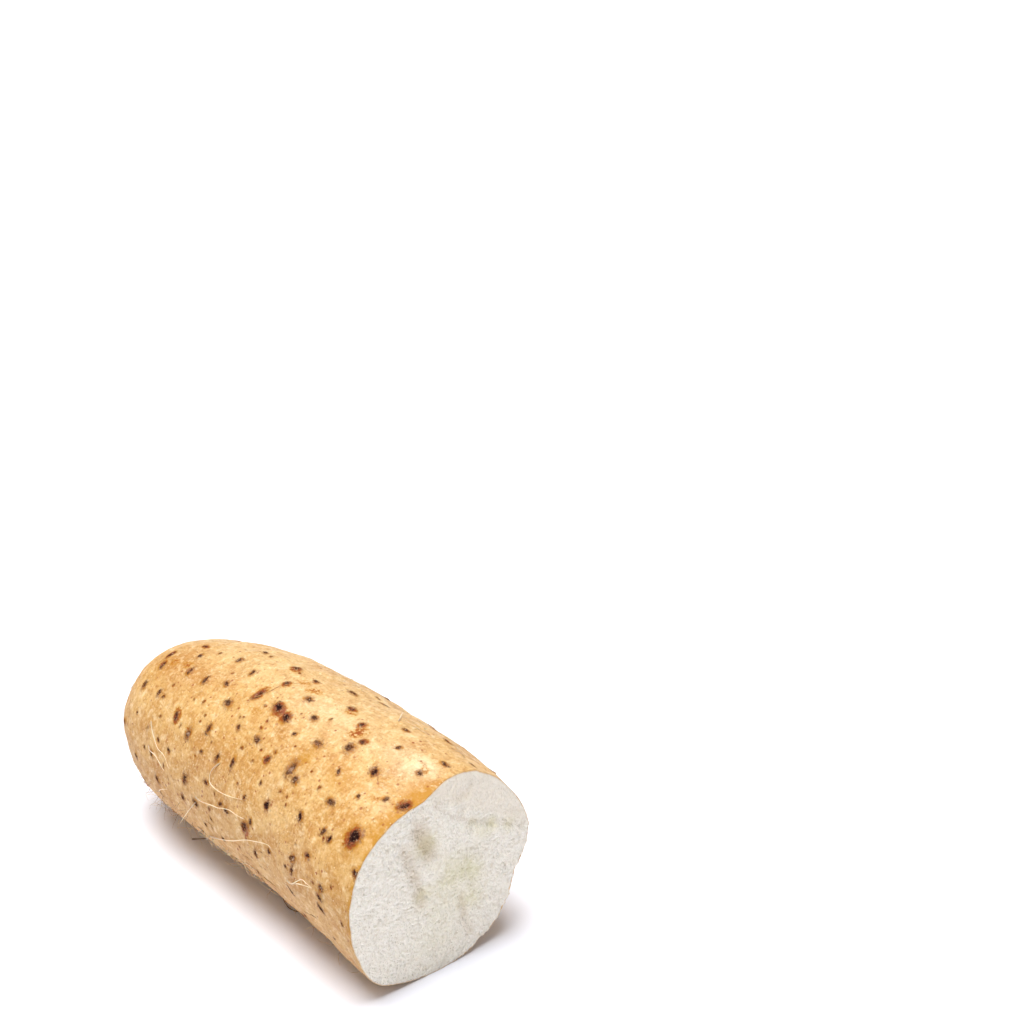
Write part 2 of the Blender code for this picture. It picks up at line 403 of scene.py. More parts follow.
    def tear(self, clock: Array) -> Array:
        """How the edge of the break wanders to and fro.

        Formula: the sum of sines of the listed waves round the rim, times a height that a bell about
        one clock angle on the lower right makes greater there.
        """
        theta = np.radians(clock)
        bell = np.exp(-((turn_from(clock, self.tear_clock) / self.tear_spread) ** 2))
        wander = sum(strength * np.sin(waves * theta + start) for waves, start, strength in TEAR_WAVES)
        return (self.tear_least + self.tear_more * bell) * wander

    def crescent(self, y: Array, z: Array) -> Array:
        """How far a point of the face is above the crease that the crescent starts from."""
        above = (y - self.crescent_from[0]) * self.crescent_up[0]
        return above + (z - self.crescent_from[1]) * self.crescent_up[1]

    def face_relief(self, y: Array, z: Array) -> Array:
        """How far the broken face stands out of its plane.

        Formula: a dome that falls with the square of the distance from the middle, less a slope on the
        crescent above the crease, plus the folds.
        """
        reach = np.hypot(y - self.face_centre[0], z - self.face_centre[1]) / self.face_radius
        sloped = self.crescent_slope * np.maximum(self.crescent(y, z), 0)
        return self.face_dome * (1 - reach**2) - sloped + self.folds(y, z)

    def folds(self, y: Array, z: Array) -> Array:
        """Height of the broken face's folds: for each, a bell of the distance from its line."""
        out = np.zeros(np.shape(y))
        for line, height, half_width in FACE_FOLDS:
            stops = np.array(line, float)
            off = np.full(np.shape(y), self.length)
            for start, run in zip(stops[:-1], np.diff(stops, axis=0)):
                along = ((y - start[0]) * run[0] + (z - start[1]) * run[1]) / (run @ run)
                along = np.clip(along, 0, 1)
                here = np.hypot(y - start[0] - along * run[0], z - start[1] - along * run[1])
                off = np.minimum(off, here)
            out = out + height * np.exp(-((off / half_width) ** 2) / 2)
        return out

    def face_middle(self) -> Array:
        """The middle of the broken face, in its plane."""
        return np.array([self.length, *self.face_centre])


@dataclass(frozen=True)
class ScarLook:
    """How one kind of root scar looks; sizes are per unit of the scar's diameter."""

    dark: float
    rust: float
    spread: float
    grey: float
    pit: float
    collar: float
    stub: float


class ScarKind(Enum):
    """The kinds of root scar on the skin."""

    PLAIN = ScarLook(dark=0.80, rust=0.40, spread=1.1, grey=0.1, pit=0.18, collar=0.12, stub=0.14)
    BLACK = ScarLook(dark=1.00, rust=0.45, spread=1.0, grey=0.0, pit=0.26, collar=0.13, stub=0.14)
    RUSTY = ScarLook(dark=0.75, rust=0.85, spread=1.20, grey=0.1, pit=0.18, collar=0.12, stub=0.12)
    BURNT = ScarLook(dark=1.00, rust=1.00, spread=1.25, grey=0.0, pit=0.24, collar=0.16, stub=0.20)
    GREY = ScarLook(dark=0.75, rust=0.40, spread=1.1, grey=0.9, pit=0.16, collar=0.17, stub=0.22)
    FAINT = ScarLook(dark=0.30, rust=0.20, spread=0.8, grey=0.3, pit=0.08, collar=0.05, stub=0.05)
    SLIT = ScarLook(dark=0.90, rust=0.30, spread=0.8, grey=0.0, pit=0.18, collar=0.08, stub=0.00)
    DOT = ScarLook(dark=0.40, rust=0.75, spread=0.8, grey=0.0, pit=0.08, collar=0.04, stub=0.00)


# Root scars of the near side: distance from the tip, clock, diameter, then for long ones the lean of the
# long way (0 is along the tuber, 90 about it) and how many times longer than wide
NEAR_SCARS = {
    ScarKind.PLAIN: (
        (12.5, 167, 1.8), (18, 135, 2.2, 100, 1.3), (29.5, 102, 1.7, 90, 1.3), (33.5, 115, 2.2, 80, 1.3),
        (45, 95, 2.0), (46.5, 79, 1.7, 0, 1.2), (43, 117, 2.2, 80, 1.3), (52.5, 114, 1.8), (56, 100, 2.1),
        (28, 135, 1.8), (60, 123, 2.7), (77, 84, 1.7, 0, 1.4), (84, 97, 2.2, 0, 1.2), (93.5, 105, 2.2),
        (60, 140, 2.4, 90, 1.3), (71, 131, 1.7), (35, 170, 1.8), (23, -177, 1.7), (39, -176, 2.0),
        (56, 171, 2.6), (67.5, 165, 1.7), (69.5, 150, 2.0, 100, 1.2), (77, 148, 2.0, 90, 1.4),
        (81.5, 131, 2.3, 20, 1.3), (88.5, 74, 2.2, 5, 1.5), (114.5, 107, 2.9), (117.5, 75, 1.9, 0, 1.4),
        (97.5, 64, 2.0, 0, 1.6), (125, 89, 1.7), (138, 91, 1.8), (140.5, 77, 2.0, 5, 1.4),
        (126, 58, 1.7, 0, 1.5), (123.5, 134, 2.4, 0, 1.3), (138.5, 115, 1.7), (61.5, -178, 2.4),
        (54, -176, 2.0, 90, 1.2), (76.5, -167, 1.6), (93.5, 169, 1.7, 90, 1.2), (127, 147, 2.0, 100, 1.2),
        (124.5, 162, 2.0), (132, 178, 1.9), (116.5, -151, 1.8),
    ),
    ScarKind.BLACK: ((128, 108, 2.6), (130.5, 148, 1.9), (99.5, 155, 2.4), (115.5, 149, 2.1)),
    ScarKind.RUSTY: (
        (17, 108, 2.2, 90, 1.5), (19, 118, 2.0, 90, 1.3), (25, 92, 1.7, 0, 1.3), (65, 82, 2.4, 0, 1.3),
        (42.5, 143, 2.4, 90, 1.3), (67.5, 111, 2.8, 90, 1.6), (71, 96, 2.0, 90, 1.2), (90.5, 136, 2.2),
        (98, 86, 2.1, 0, 1.2), (108, 92, 2.0), (115.5, 100, 2.0), (91, 173, 2.8, 90, 1.2),
    ),
    ScarKind.BURNT: ((79, 111, 3.2), (85, 113, 2.8), (144.5, 111, 3.0), (139.5, 139, 4.0)),
    ScarKind.GREY: (
        (52, 148, 2.6, 90, 1.4), (102, 133, 3.8), (106, 136, 2.5), (103.5, 115, 2.6, 0, 1.4),
        (80.5, 172, 2.0, 0, 1.2), (117, 170, 2.4), (133, 172, 2.3),
    ),
    ScarKind.SLIT: ((117, 177, 1.8, 90, 1.5), (96, -175, 1.8, 80, 1.5), (115, -169, 1.9, 30, 1.7)),
}

# Smaller marks of the near side that are too small for the solid
SMALL_SCARS = {
    ScarKind.PLAIN: (
        (34.5, 94, 1.2), (24, 65, 1.0), (31, 136, 1.3), (21, 153, 1.0), (37.5, 160, 1.2), (45, 162, 1.5),
        (30, 170, 1.2), (43.5, 172, 1.0), (61.5, 152, 1.3), (93, 148, 1.2), (88.5, 159, 1.4),
        (91.5, 60, 1.2, 0, 1.6), (114, 50, 1.4, 0, 1.6), (131, 123, 1.3), (98.5, 100, 1.0),
        (104, 177, 1.5), (92.5, -158, 1.4), (143, -177, 1.3), (134, -156, 1.2), (59, -155, 1.2),
        (24.5, -160, 1.4), (41, -152, 1.2), (7, 142, 1.6), (143, 61, 1.4, 0, 1.8), (113.5, 177, 1.1),
        (93, 118, 1.5), (118.5, 120, 1.5), (65.5, -167, 1.3), (70.5, -175, 1.3), (76.5, 171, 1.5),
    ),
    ScarKind.BLACK: ((146, 152.5, 2.0),),
    ScarKind.FAINT: ((30, 157, 1.8), (117, 162, 1.2), (70, -169, 1.2)),
    ScarKind.SLIT: ((132, -175, 1.8, 35, 1.8),),
    ScarKind.DOT: (
        (50, 129, 1.3), (55, 135, 1.1), (54.5, 139, 0.9), (34.5, 147, 1.2), (45.5, 130, 0.9),
        (79.5, 120, 1.0), (74, 114, 1.1), (69, 126, 0.8), (70.5, 125, 0.8), (85, 141, 1.1),
        (83, 155, 1.1), (49.5, 106, 0.9), (32, 127, 1.2), (85.5, 134, 1.0), (59, 156, 0.8),
        (46.5, 146, 1.2), (73, 168, 0.9), (107.5, 149, 1.1), (106.5, 145, 0.9), (103, 145, 1.1),
        (51, 81, 1.4), (68.5, 84, 1.1), (128.5, 150, 1.1), (137.5, 167, 1.1), (128.5, 173, 1.2),
        (86, -170, 1.0), (77.5, 139, 1.2), (70, 179, 1.4), (116.5, 132, 1.3), (79.5, 125, 1.0),
        (91.5, 131, 1.0), (64, 145, 0.8), (97, 123, 0.8), (110, 128, 0.8), (88, 107, 0.8),
    ),
}


# Waves round a scar that make its edge ragged: how many, how strong
SCAR_WAVES = ((2, 0.13), (3, 0.10), (5, 0.07))


@dataclass(frozen=True)
class ScarMeasures:
    """What all scars have in common; sizes are per unit of the scar's diameter."""

    core_aside: float = 0.10
    core_longer: float = 0.5
    halo_aside: float = 0.25
    halo_from: float = 0.30
    ragged_to: tuple[float, float] = (0.6, 1.0)
    collar_at: float = 0.50
    collar_width: float = 0.15
    pit_edge: tuple[float, float] = (0.08, 0.42)
    stub_aside: float = 0.2
    stub_size: float = 0.03
    stub_rise: float = 1.3
    crumb_height: float = 0.045
    crumb_length: float = 0.33
    crumb_edge: tuple[float, float] = (0.35, 0.75)


MEASURES = ScarMeasures()

# The kinds that scars of the side turned away take in turn
FAR_KINDS = (ScarKind.PLAIN, ScarKind.RUSTY, ScarKind.PLAIN, ScarKind.GREY, ScarKind.BLACK)


@dataclass(frozen=True)
class Scar:
    """One root scar and the small frame that it lies in."""

    x: float
    clock: float
    diameter: float
    look: ScarLook
    lean: float
    stretch: float
    at: Array
    along: Array
    about: Array
    draws: Array

    def local(self, points: Array) -> tuple[Array, Array, Array]:
        """Where points lie about the scar.

        Formula: the place in the scar's plane, in diameters, turned to the scar's long way, pressed
        together along it and drawn out across it. Its distance is made ragged by a few sines of its
        angle, which fade out beyond the scar.

        Args:
            points: Points on the skin, one to a row.

        Returns:
            The ragged distance, and the places along and across the scar.
        """
        away = (points - self.at) / self.diameter
        u, v = away @ self.along, away @ self.about
        run = (u * np.cos(self.lean) + v * np.sin(self.lean)) / self.stretch
        off = (v * np.cos(self.lean) - u * np.sin(self.lean)) * self.stretch**0.4
        angle, far = np.arctan2(off, run), np.sqrt(run**2 + off**2 + 1e-9)
        ragged = sum(
            strength * np.sin(waves * angle + draw * 2 * np.pi)
            for (waves, strength), draw in zip(SCAR_WAVES, self.draws)
        )
        return far * (1 + ragged * (1 - smooth_step(far, *MEASURES.ragged_to))), run, off

    def core(self, run: Array, off: Array) -> Array:
        """Distance from the dark core, which lies a little aside and is longer than wide."""
        phase, longer = self.draws[3] * 2 * np.pi, 1 + MEASURES.core_longer * self.draws[4]
        run = run - MEASURES.core_aside * np.cos(phase)
        off = off - MEASURES.core_aside * np.sin(phase)
        return np.hypot(run / longer, off * np.sqrt(longer))

    def rust(self, run: Array, off: Array) -> Array:
        """Strength of the rusty halo, which lies aside of the scar and fades out on an S-curve."""
        phase, aside = self.draws[5] * 2 * np.pi, MEASURES.halo_aside
        away = np.hypot(run - aside * np.cos(phase), off - aside * np.sin(phase)) / self.look.spread
        return self.look.rust * (1 - smooth_step(away, MEASURES.halo_from, 1.0))

    def relief(self, near: Array, run: Array, off: Array, points: Array) -> Array:
        """Height of the scar above the skin.

        Formula: an uneven collar, a bell about a ring just outside the pit; less the pit, sunk on an S
        curve; plus the torn stub of the root, a small bell of the distance from a point beside the
        middle; plus crumbs inside, which are random ripples.
        """
        look, angle, phase = self.look, np.arctan2(off, run), self.draws[6:] * 2 * np.pi
        uneven = 0.75 + 0.5 * np.sin(angle + phase[0])
        collar = np.exp(-(((near - MEASURES.collar_at) / MEASURES.collar_width) ** 2))
        pit = look.pit * (1 - smooth_step(near, *MEASURES.pit_edge))
        aside = MEASURES.stub_aside
        away = near**2 + aside**2 - 2 * aside * near * np.cos(angle - phase[1])
        stub = look.stub * MEASURES.stub_rise * np.exp(-away / MEASURES.stub_size)
        crumbs = MEASURES.crumb_height * ripples(points, MEASURES.crumb_length * self.diameter, 5)
        crumbs = crumbs * (1 - smooth_step(near, *MEASURES.crumb_edge)) * min(1.0, 4 * look.pit)
        return self.diameter * (look.collar * uneven * collar - pit + stub + crumbs)


@dataclass
class ScarField:
    """Every root scar, and what each does to the skin about it."""

    form: TuberForm
    tried: int = 400
    apart: float = 12.0
    far_distances: tuple[float, float] = (8, 141)
    far_clocks: tuple[float, float] = (-150, 50)
    far_sizes: tuple[float, float] = (1.7, 3.0)
    far_dots: int = 62
    dot_distances: tuple[float, float] = (10, 142)
    dot_clocks: tuple[float, float] = (-140, 52)
    dot_sizes: tuple[float, float] = (0.8, 1.4)
    plain_every: int = 3
    clear_of_surface: float = 3.0
    seed: int = 11
    farthest: float = 3.0
    scars: list[Scar] = field(default_factory=list)

    def __post_init__(self) -> None:
        """Places the scars of the near side, then those of the far side."""
        for group in (NEAR_SCARS, SMALL_SCARS):
            for kind, places in group.items():
                for place in places:
                    self.add(kind, *place)
        for number, place in enumerate(self.far_side()):
            self.add(FAR_KINDS[number % len(FAR_KINDS)], *place)
        rng = np.random.default_rng(self.seed + 1)
        for number in range(self.far_dots):
            kind = ScarKind.DOT if number % self.plain_every else ScarKind.PLAIN
            spans = (self.dot_distances, self.dot_clocks, self.dot_sizes)
            self.add(kind, *(rng.uniform(*span) for span in spans))

    def add(self, kind: ScarKind, x: float, clock: float, diameter: float, *long_way: float) -> None:
        """Places one scar on the skin.

        Args:
            kind: Its kind.
            x: Its distance from the tip.
            clock: Its clock angle.
            diameter: Its diameter.
            long_way: The lean of its long way and how many times longer than wide it is, where listed.
        """
        place = np.array(x, float), np.array(clock, float)
        along, about = self.form.slopes(*place)
        along = along / np.linalg.norm(along)
        about = about - along * (along @ about)
        about = about / np.linalg.norm(about)
        draws = np.random.default_rng(len(self.scars) + 100).uniform(size=10)
        lean, stretch = long_way or (180 * draws[8], 1 + 0.3 * draws[9])
        frame_of = (self.form.worn_skin(*place), along, about)
        made = Scar(x, clock, diameter, kind.value, np.radians(lean), stretch, *frame_of, draws[:8])
        self.scars.append(made)

    def far_side(self) -> list[tuple[float, float, float]]:
        """Scars for the side turned away, drawn at random and kept where they stand well apart."""
        rng = np.random.default_rng(self.seed)
        kept: list[tuple[float, float, float]] = []
        spots: list[Array] = []
        for _ in range(self.tried):
            x, clock = rng.uniform(*self.far_distances), rng.uniform(*self.far_clocks)
            diameter = rng.uniform(*self.far_sizes)
            spot = self.form.skin(x, clock)
            apart = all(np.linalg.norm(spot - other) > self.apart for other in spots)
            if apart and spot[2] > self.clear_of_surface:
                kept.append((x, clock, diameter))
                spots.append(spot)
        return kept

    def read(self, x: Array, clock: Array, points: Array) -> tuple[dict[str, Array], Array, Array]:
        """What the scars do at each point.

        Args:
            x: The points' distances from the tip.
            clock: Their clock angles.
            points: Points on the skin, one to a row.

        Returns:
            What the skin records: the distance to the nearest scar and to its dark core, in
            diameters, its look (darkness, greyness and a 0), the rust, and the ochre stain with the
            painted light of the stain table (pale highlight and sheen, deeper ochre shade); then the
            diameter of the nearest scar and the height of all scars together.
        """
        near, core = (np.full(len(points), self.farthest) for _ in range(2))
        size, height = np.zeros(len(points)), np.zeros(len(points))
        look = np.zeros((len(points), 3))
        rusty = patches(RUST_PATCHES, x, clock)
        for scar in self.scars:
            within = self.farthest * scar.diameter * scar.stretch
            close = np.flatnonzero(np.abs(points - scar.at).max(axis=1) < within)
            distance, run, off = scar.local(points[close])
            height[close] += scar.relief(distance, run, off, points[close])
            rusty[close] = np.maximum(rusty[close], scar.rust(run, off))
            nearest = distance < near[close]
            close = close[nearest]
            near[close] = distance[nearest]
            core[close] = scar.core(run[nearest], off[nearest])
            size[close] = scar.diameter
            look[close, :2] = scar.look.dark, scar.look.grey
        stain_and_painted_light = patches(STAINS_AND_PAINTED_LIGHT, x, clock)
        return {"near": near, "core": core, "look": look, "rusty": rusty, "stain_and_painted_light": stain_and_painted_light}, size, height


@dataclass
class Socket:
    """An output socket of a material, on which sums are written as Python expressions."""

    board: "Board"
    link: bpy.types.NodeSocket

    def __add__(self, other: "Socket | float") -> "Socket":
        """Adds."""
        return self.board.maths("ADD", self, other)

    __radd__ = __add__

    def __sub__(self, other: "Socket | float") -> "Socket":
        """Takes the other away."""
        return self.board.maths("SUBTRACT", self, other)

    def __rsub__(self, other: float) -> "Socket":
        """Takes this away from a number."""
        return self.board.maths("SUBTRACT", other, self)

    def __mul__(self, other: "Socket | float") -> "Socket":
        """Multiplies."""
        return self.board.maths("MULTIPLY", self, other)

    __rmul__ = __mul__

    def rise(self, start: "Socket | float", end: "Socket | float") -> "Socket":
        """0 up to start, 1 from end on, and an S-shaped curve between them."""
        values = {"Value": self, "From Min": start, "From Max": end}
        made = self.board.node("ShaderNodeMapRange", {"interpolation_type": "SMOOTHSTEP"}, values)
        return Socket(self.board, made.outputs["Result"])

    def fall(self, start: "Socket | float", end: "Socket | float") -> "Socket":
        """1 up to start, 0 from end on."""
        return 1 - self.rise(start, end)

    def clamped(self) -> "Socket":
        """Held between 0 and 1."""
        made = self.board.node("ShaderNodeClamp", {}, {"Value": self})
        return Socket(self.board, made.outputs["Result"])


@dataclass
class Board:
    """The nodes of one material, filled from Python."""

    material: bpy.types.Material

    @classmethod
    def named(cls, name: str) -> "Board":
        """A board for a new material, with its Principled shader in place."""
        material = bpy.data.materials.new(name)
        material.use_nodes = True
        return cls(material)

    def node(self, kind: str, settings: dict | None = None, values: dict | None = None) -> bpy.types.Node:
        """Adds a node.

        Args:
            kind: Blender's name for the node.
            settings: The node's own settings, such as a Math node's operation or a ramp's stops.
            values: The value or link of each socket, by name or number.

        Returns:
            The node.
        """
        made = self.material.node_tree.nodes.new(kind)
        for name, value in (settings or {}).items():
            setattr(made, name, value)
        self.fill(made, values or {})
        return made

    def fill(self, node: bpy.types.Node, values: dict) -> None:
        """Sets or links a node's sockets."""
        for name, value in values.items():
            if isinstance(value, Socket):
                self.material.node_tree.links.new(value.link, node.inputs[name])
            else:
                node.inputs[name].default_value = value

    def maths(self, operation: str, first: "Socket | float", second: "Socket | float" = 0.0) -> Socket:
        """A sum on numbers."""
        made = self.node("ShaderNodeMath", {"operation": operation}, {0: first, 1: second})
        return Socket(self, made.outputs[0])

    def value(self, name: str) -> Socket:
        """A number that the piece's mesh records."""
        made = self.node("ShaderNodeAttribute", {"attribute_name": name})
        return Socket(self, made.outputs["Fac"])

    def parts(self, name: str) -> list[Socket]:
        """The three numbers of a vector that the piece's mesh records."""
        recorded = self.node("ShaderNodeAttribute", {"attribute_name": name})
        return self.split(Socket(self, recorded.outputs["Vector"]))

    def split(self, vector: Socket) -> list[Socket]:
        """The three numbers of a vector."""
        made = self.node("ShaderNodeSeparateXYZ", {}, {0: vector})
        return [Socket(self, made.outputs[n]) for n in range(3)]

    def place(self, scale: tuple[float, float, float] = (1, 1, 1)) -> Socket:
        """Object coordinates, scaled along each axis."""
        here = Socket(self, self.node("ShaderNodeTexCoord").outputs["Object"])
        if scale == (1, 1, 1):
            return here
        made = self.node("ShaderNodeMapping", {"vector_type": "POINT"}, {"Vector": here, "Scale": scale})
        return Socket(self, made.outputs[0])

    def noise(
        self, at: Socket, size: float, detail: float = 3.0, rough: float = 0.55, bend: float = 0.0
    ) -> Socket:
        """Cloudy noise from 0 to 1.

        Args:
            at: The place that it is read at.
            size: About how wide its clouds are, in millimetres.
            detail: How many finer noises are added.
            rough: How strong each finer noise is beside the one before it.
            bend: How far its clouds are bent.

        Returns:
            The noise.
        """
        values = {"Vector": at, "Scale": MM_PER_METRE / size, "Detail": detail}
        values |= {"Roughness": rough, "Distortion": bend}
        return Socket(self, self.node("ShaderNodeTexNoise", {}, values).outputs[0])

    def cells(self, at: Socket, size: float) -> tuple[Socket, list[Socket]]:
        """Scattered cells.

        Args:
            at: The place that they are read at.
            size: Their size in millimetres.

        Returns:
            The distance from a cell's point, in cell sizes, and three random numbers of the cell.
        """
        made = self.node("ShaderNodeTexVoronoi", {}, {"Vector": at, "Scale": MM_PER_METRE / size})
        drawn = self.split(Socket(self, made.outputs["Color"]))
        return Socket(self, made.outputs["Distance"]), drawn

    def mix(self, share: "Socket | float", first: "Socket | Colour", second: "Socket | Colour") -> Socket:
        """Two colours mixed by a share, held between 0 and 1."""
        settings = {"data_type": "RGBA", "clamp_factor": True}
        made = self.node("ShaderNodeMix", settings, {0: share, 6: first, 7: second})
        return Socket(self, made.outputs[2])

    def layered(self, colour: "Socket | Colour", *layers: tuple) -> Socket:
        """A colour with other colours laid over it in turn: each layer is a share and a colour."""
        for share, over in layers:
            colour = self.mix(share, colour, over)
        return colour

    def bump(self, height: Socket, depth: float, strength: float = 1.0) -> Socket:
        """A surface normal bent by a height from 0 to 1 that stands for a depth in millimetres."""
        values = {"Height": height, "Distance": depth * METRES_PER_MM, "Strength": strength}
        return Socket(self, self.node("ShaderNodeBump", {}, values).outputs[0])

    def shader(self, values: dict) -> bpy.types.Material:
        """Sets the Principled shader's sockets and returns the finished material."""
        self.fill(self.material.node_tree.nodes["Principled BSDF"], values)
        return self.material


@dataclass(frozen=True)
class SkinFinish:
    """Thin tan skin: mottled, freckled, stained about the scars, with a soft moist sheen."""

    tan: Colour = paint(202, 152, 84)
    cream: Colour = paint(220, 178, 114)
    amber: Colour = paint(174, 110, 42)
    umber: Colour = paint(134, 80, 32)
    ochre: Colour = paint(188, 128, 10)
    rust: Colour = paint(146, 58, 4)
    brown: Colour = paint(112, 52, 16)
    core: Colour = paint(40, 6, 0)
    plum: Colour = paint(122, 66, 40)
    ash: Colour = paint(172, 140, 116)
    pale: Colour = paint(245, 222, 178)

    def material(self) -> bpy.types.Material:
        """Makes the material.

        Colour goes from cream to tan to amber in clouds, with fine mottling and faint strokes about
        and along the tuber; freckles are cells with a dot in a few of them; each scar has a rust halo,
        a brown ring and a dull dark core, with a paler middle where it is grey and a few pale flecks,
        which are partly dry membrane and partly painted glints. The stain table lays real ochre stains,
        painted highlight and sheen as pale patches on the upper side, and painted shade as deeper ochre
        toward the underside; the brown of the creases is painted shade too.
        """
        board = Board.named("nagaimo_skin")
        here = board.place()
        colour, small, fine, around = self.ground(board, here)
        colour = self.freckled(board, here, colour)
        colour, inner = self.scarred(board, here, colour)
        height = 0.5 * fine + 0.45 * around + 0.5 * small
        return board.shader(
            {
                "Base Color": colour,
                "Roughness": 0.44 + 0.16 * small + 0.40 * inner,
                "Normal": board.bump(height, 0.24, 0.9),
                "Specular IOR Level": 0.34,
                "Subsurface Weight": 0.10,
                "Subsurface Radius": (1.0, 0.45, 0.2),
                "Subsurface Scale": 0.0012,
            }
        )

    def ground(self, board: Board, here: Socket) -> tuple[Socket, Socket, Socket, Socket]:
        """The skin's own colour, with painted highlight, sheen and shade from the stain table, and the
        three noises that also shape it.
        """
        stain_and_painted_light = board.value("stain_and_painted_light")
        clouds, wide = board.noise(here, 11.0, 4.0, 0.6), board.noise(here, 24.0, 3.0)
        small = board.noise(here, 2.4, 4.0, 0.65, 0.4)
        fine = board.noise(here, 0.9, 3.0, 0.65)
        around = board.noise(board.place((1.0, 0.14, 0.14)), 0.6, 3.0, 0.6)
        lengthwise = board.noise(board.place((0.12, 1.0, 1.0)), 0.6, 3.0, 0.6)
        colour = board.layered(
            self.tan,
            (clouds.rise(0.35, 0.65), self.cream),
            (wide.rise(0.48, 0.70) * 0.40, self.amber),
            # painted highlight and sheen: the pale stains lighten the skin
            ((0 - stain_and_painted_light).clamped() * 0.75, self.pale),
            (small.rise(0.50, 0.68) * 0.46, self.amber),
            (small.fall(0.32, 0.48) * 0.44, self.pale),
            (fine.rise(0.54, 0.66) * 0.28, self.umber),
            (fine.fall(0.34, 0.46) * 0.36, self.pale),
            (around.rise(0.58, 0.70) * 0.24, self.pale),
            (around.fall(0.32, 0.42) * 0.18, self.umber),
            (lengthwise.rise(0.60, 0.72) * 0.24, self.pale),
            (lengthwise.fall(0.30, 0.42) * 0.24, self.umber),
            # real ochre stains, and painted shade where the table deepens the colour toward the underside
            ((stain_and_painted_light * (3.4 * small - 0.9)).clamped() * 0.80, self.ochre),
        )
        return colour, small, fine, around

    def freckled(self, board: Board, here: Socket, colour: Socket) -> Socket:
        """Adds brown freckles, small dark specks and pale specks."""
        crowd = board.noise(here, 16.0, 2.0).rise(0.35, 0.65)
        dots, draw = board.cells(here, 2.2)
        wanted = draw[0].fall(0.20 + 0.34 * crowd, 0.24 + 0.34 * crowd)
        freckle = dots.fall(0.08 + 0.10 * draw[1], 0.18 + 0.12 * draw[1]) * wanted
        specks, chance = board.cells(here, 1.25)
        speck = specks.fall(0.08, 0.22)
        return board.layered(
            colour,
            (freckle * (0.35 + 0.5 * draw[2]), self.rust),
            (speck * chance[0].fall(0.16, 0.20) * 0.70, self.umber),
            (speck * chance[0].rise(0.80, 0.84) * 0.90, self.pale),
        )

    def scarred(self, board: Board, here: Socket, colour: Socket) -> tuple[Socket, Socket]:
        """Adds the scars, the rust patches and the trails; the pale flecks are partly painted glints and
        the creases' brown is painted shade; also gives the share of dark core.
        """
        near, core, rusty, trail_and_crease_shade = (board.value(name) for name in ("near", "core", "rusty", "trail_and_crease_shade"))
        dark, grey, _ = board.parts("look")
        broad = board.noise(here, 1.6, 4.0, 0.7) - 0.5
        coarse = board.noise(here, 0.8, 3.0, 0.65) - 0.5
        crumb = board.noise(here, 0.42, 2.0, 0.6)
        rusted = rusty * (1 + 6.0 * broad + 3.0 * coarse)
        ring = (near + coarse * 1.2 + broad * 1.2).fall(0.20, 1.10) * dark
        inner = (core + coarse * 0.90 + (crumb - 0.5) * 0.6).fall(0.20, 0.56) * dark
        centre = board.mix(crumb.rise(0.52, 0.62) * 0.45, self.core, self.plum)
        # pale flecks in the scars: partly dry membrane, partly painted glints
        fleck_and_glint = crumb.rise(0.63, 0.68) * near.fall(0.40, 0.80) * dark
        # brown of the root trails, and of the creases, where it is painted shade of the groove
        trail_and_crease_mask = (trail_and_crease_shade * (1 + 1.6 * coarse + 1.6 * broad)).clamped()
        colour = board.layered(
            colour,
            (rusted.rise(0.02, 0.60) * 0.80, self.ochre),
            (rusted.rise(0.25, 1.10) * 0.90, self.rust),
            (ring * 0.85, self.brown),
            (inner, centre),
            ((near + coarse * 0.4).fall(0.10, 0.26) * grey * 0.85, self.ash),
            # pale flecks, partly painted glints
            (fleck_and_glint * 0.60, self.pale),
            # root trails, and creases as painted shade
            (trail_and_crease_mask * 0.9, self.brown),
        )
        return colour, inner


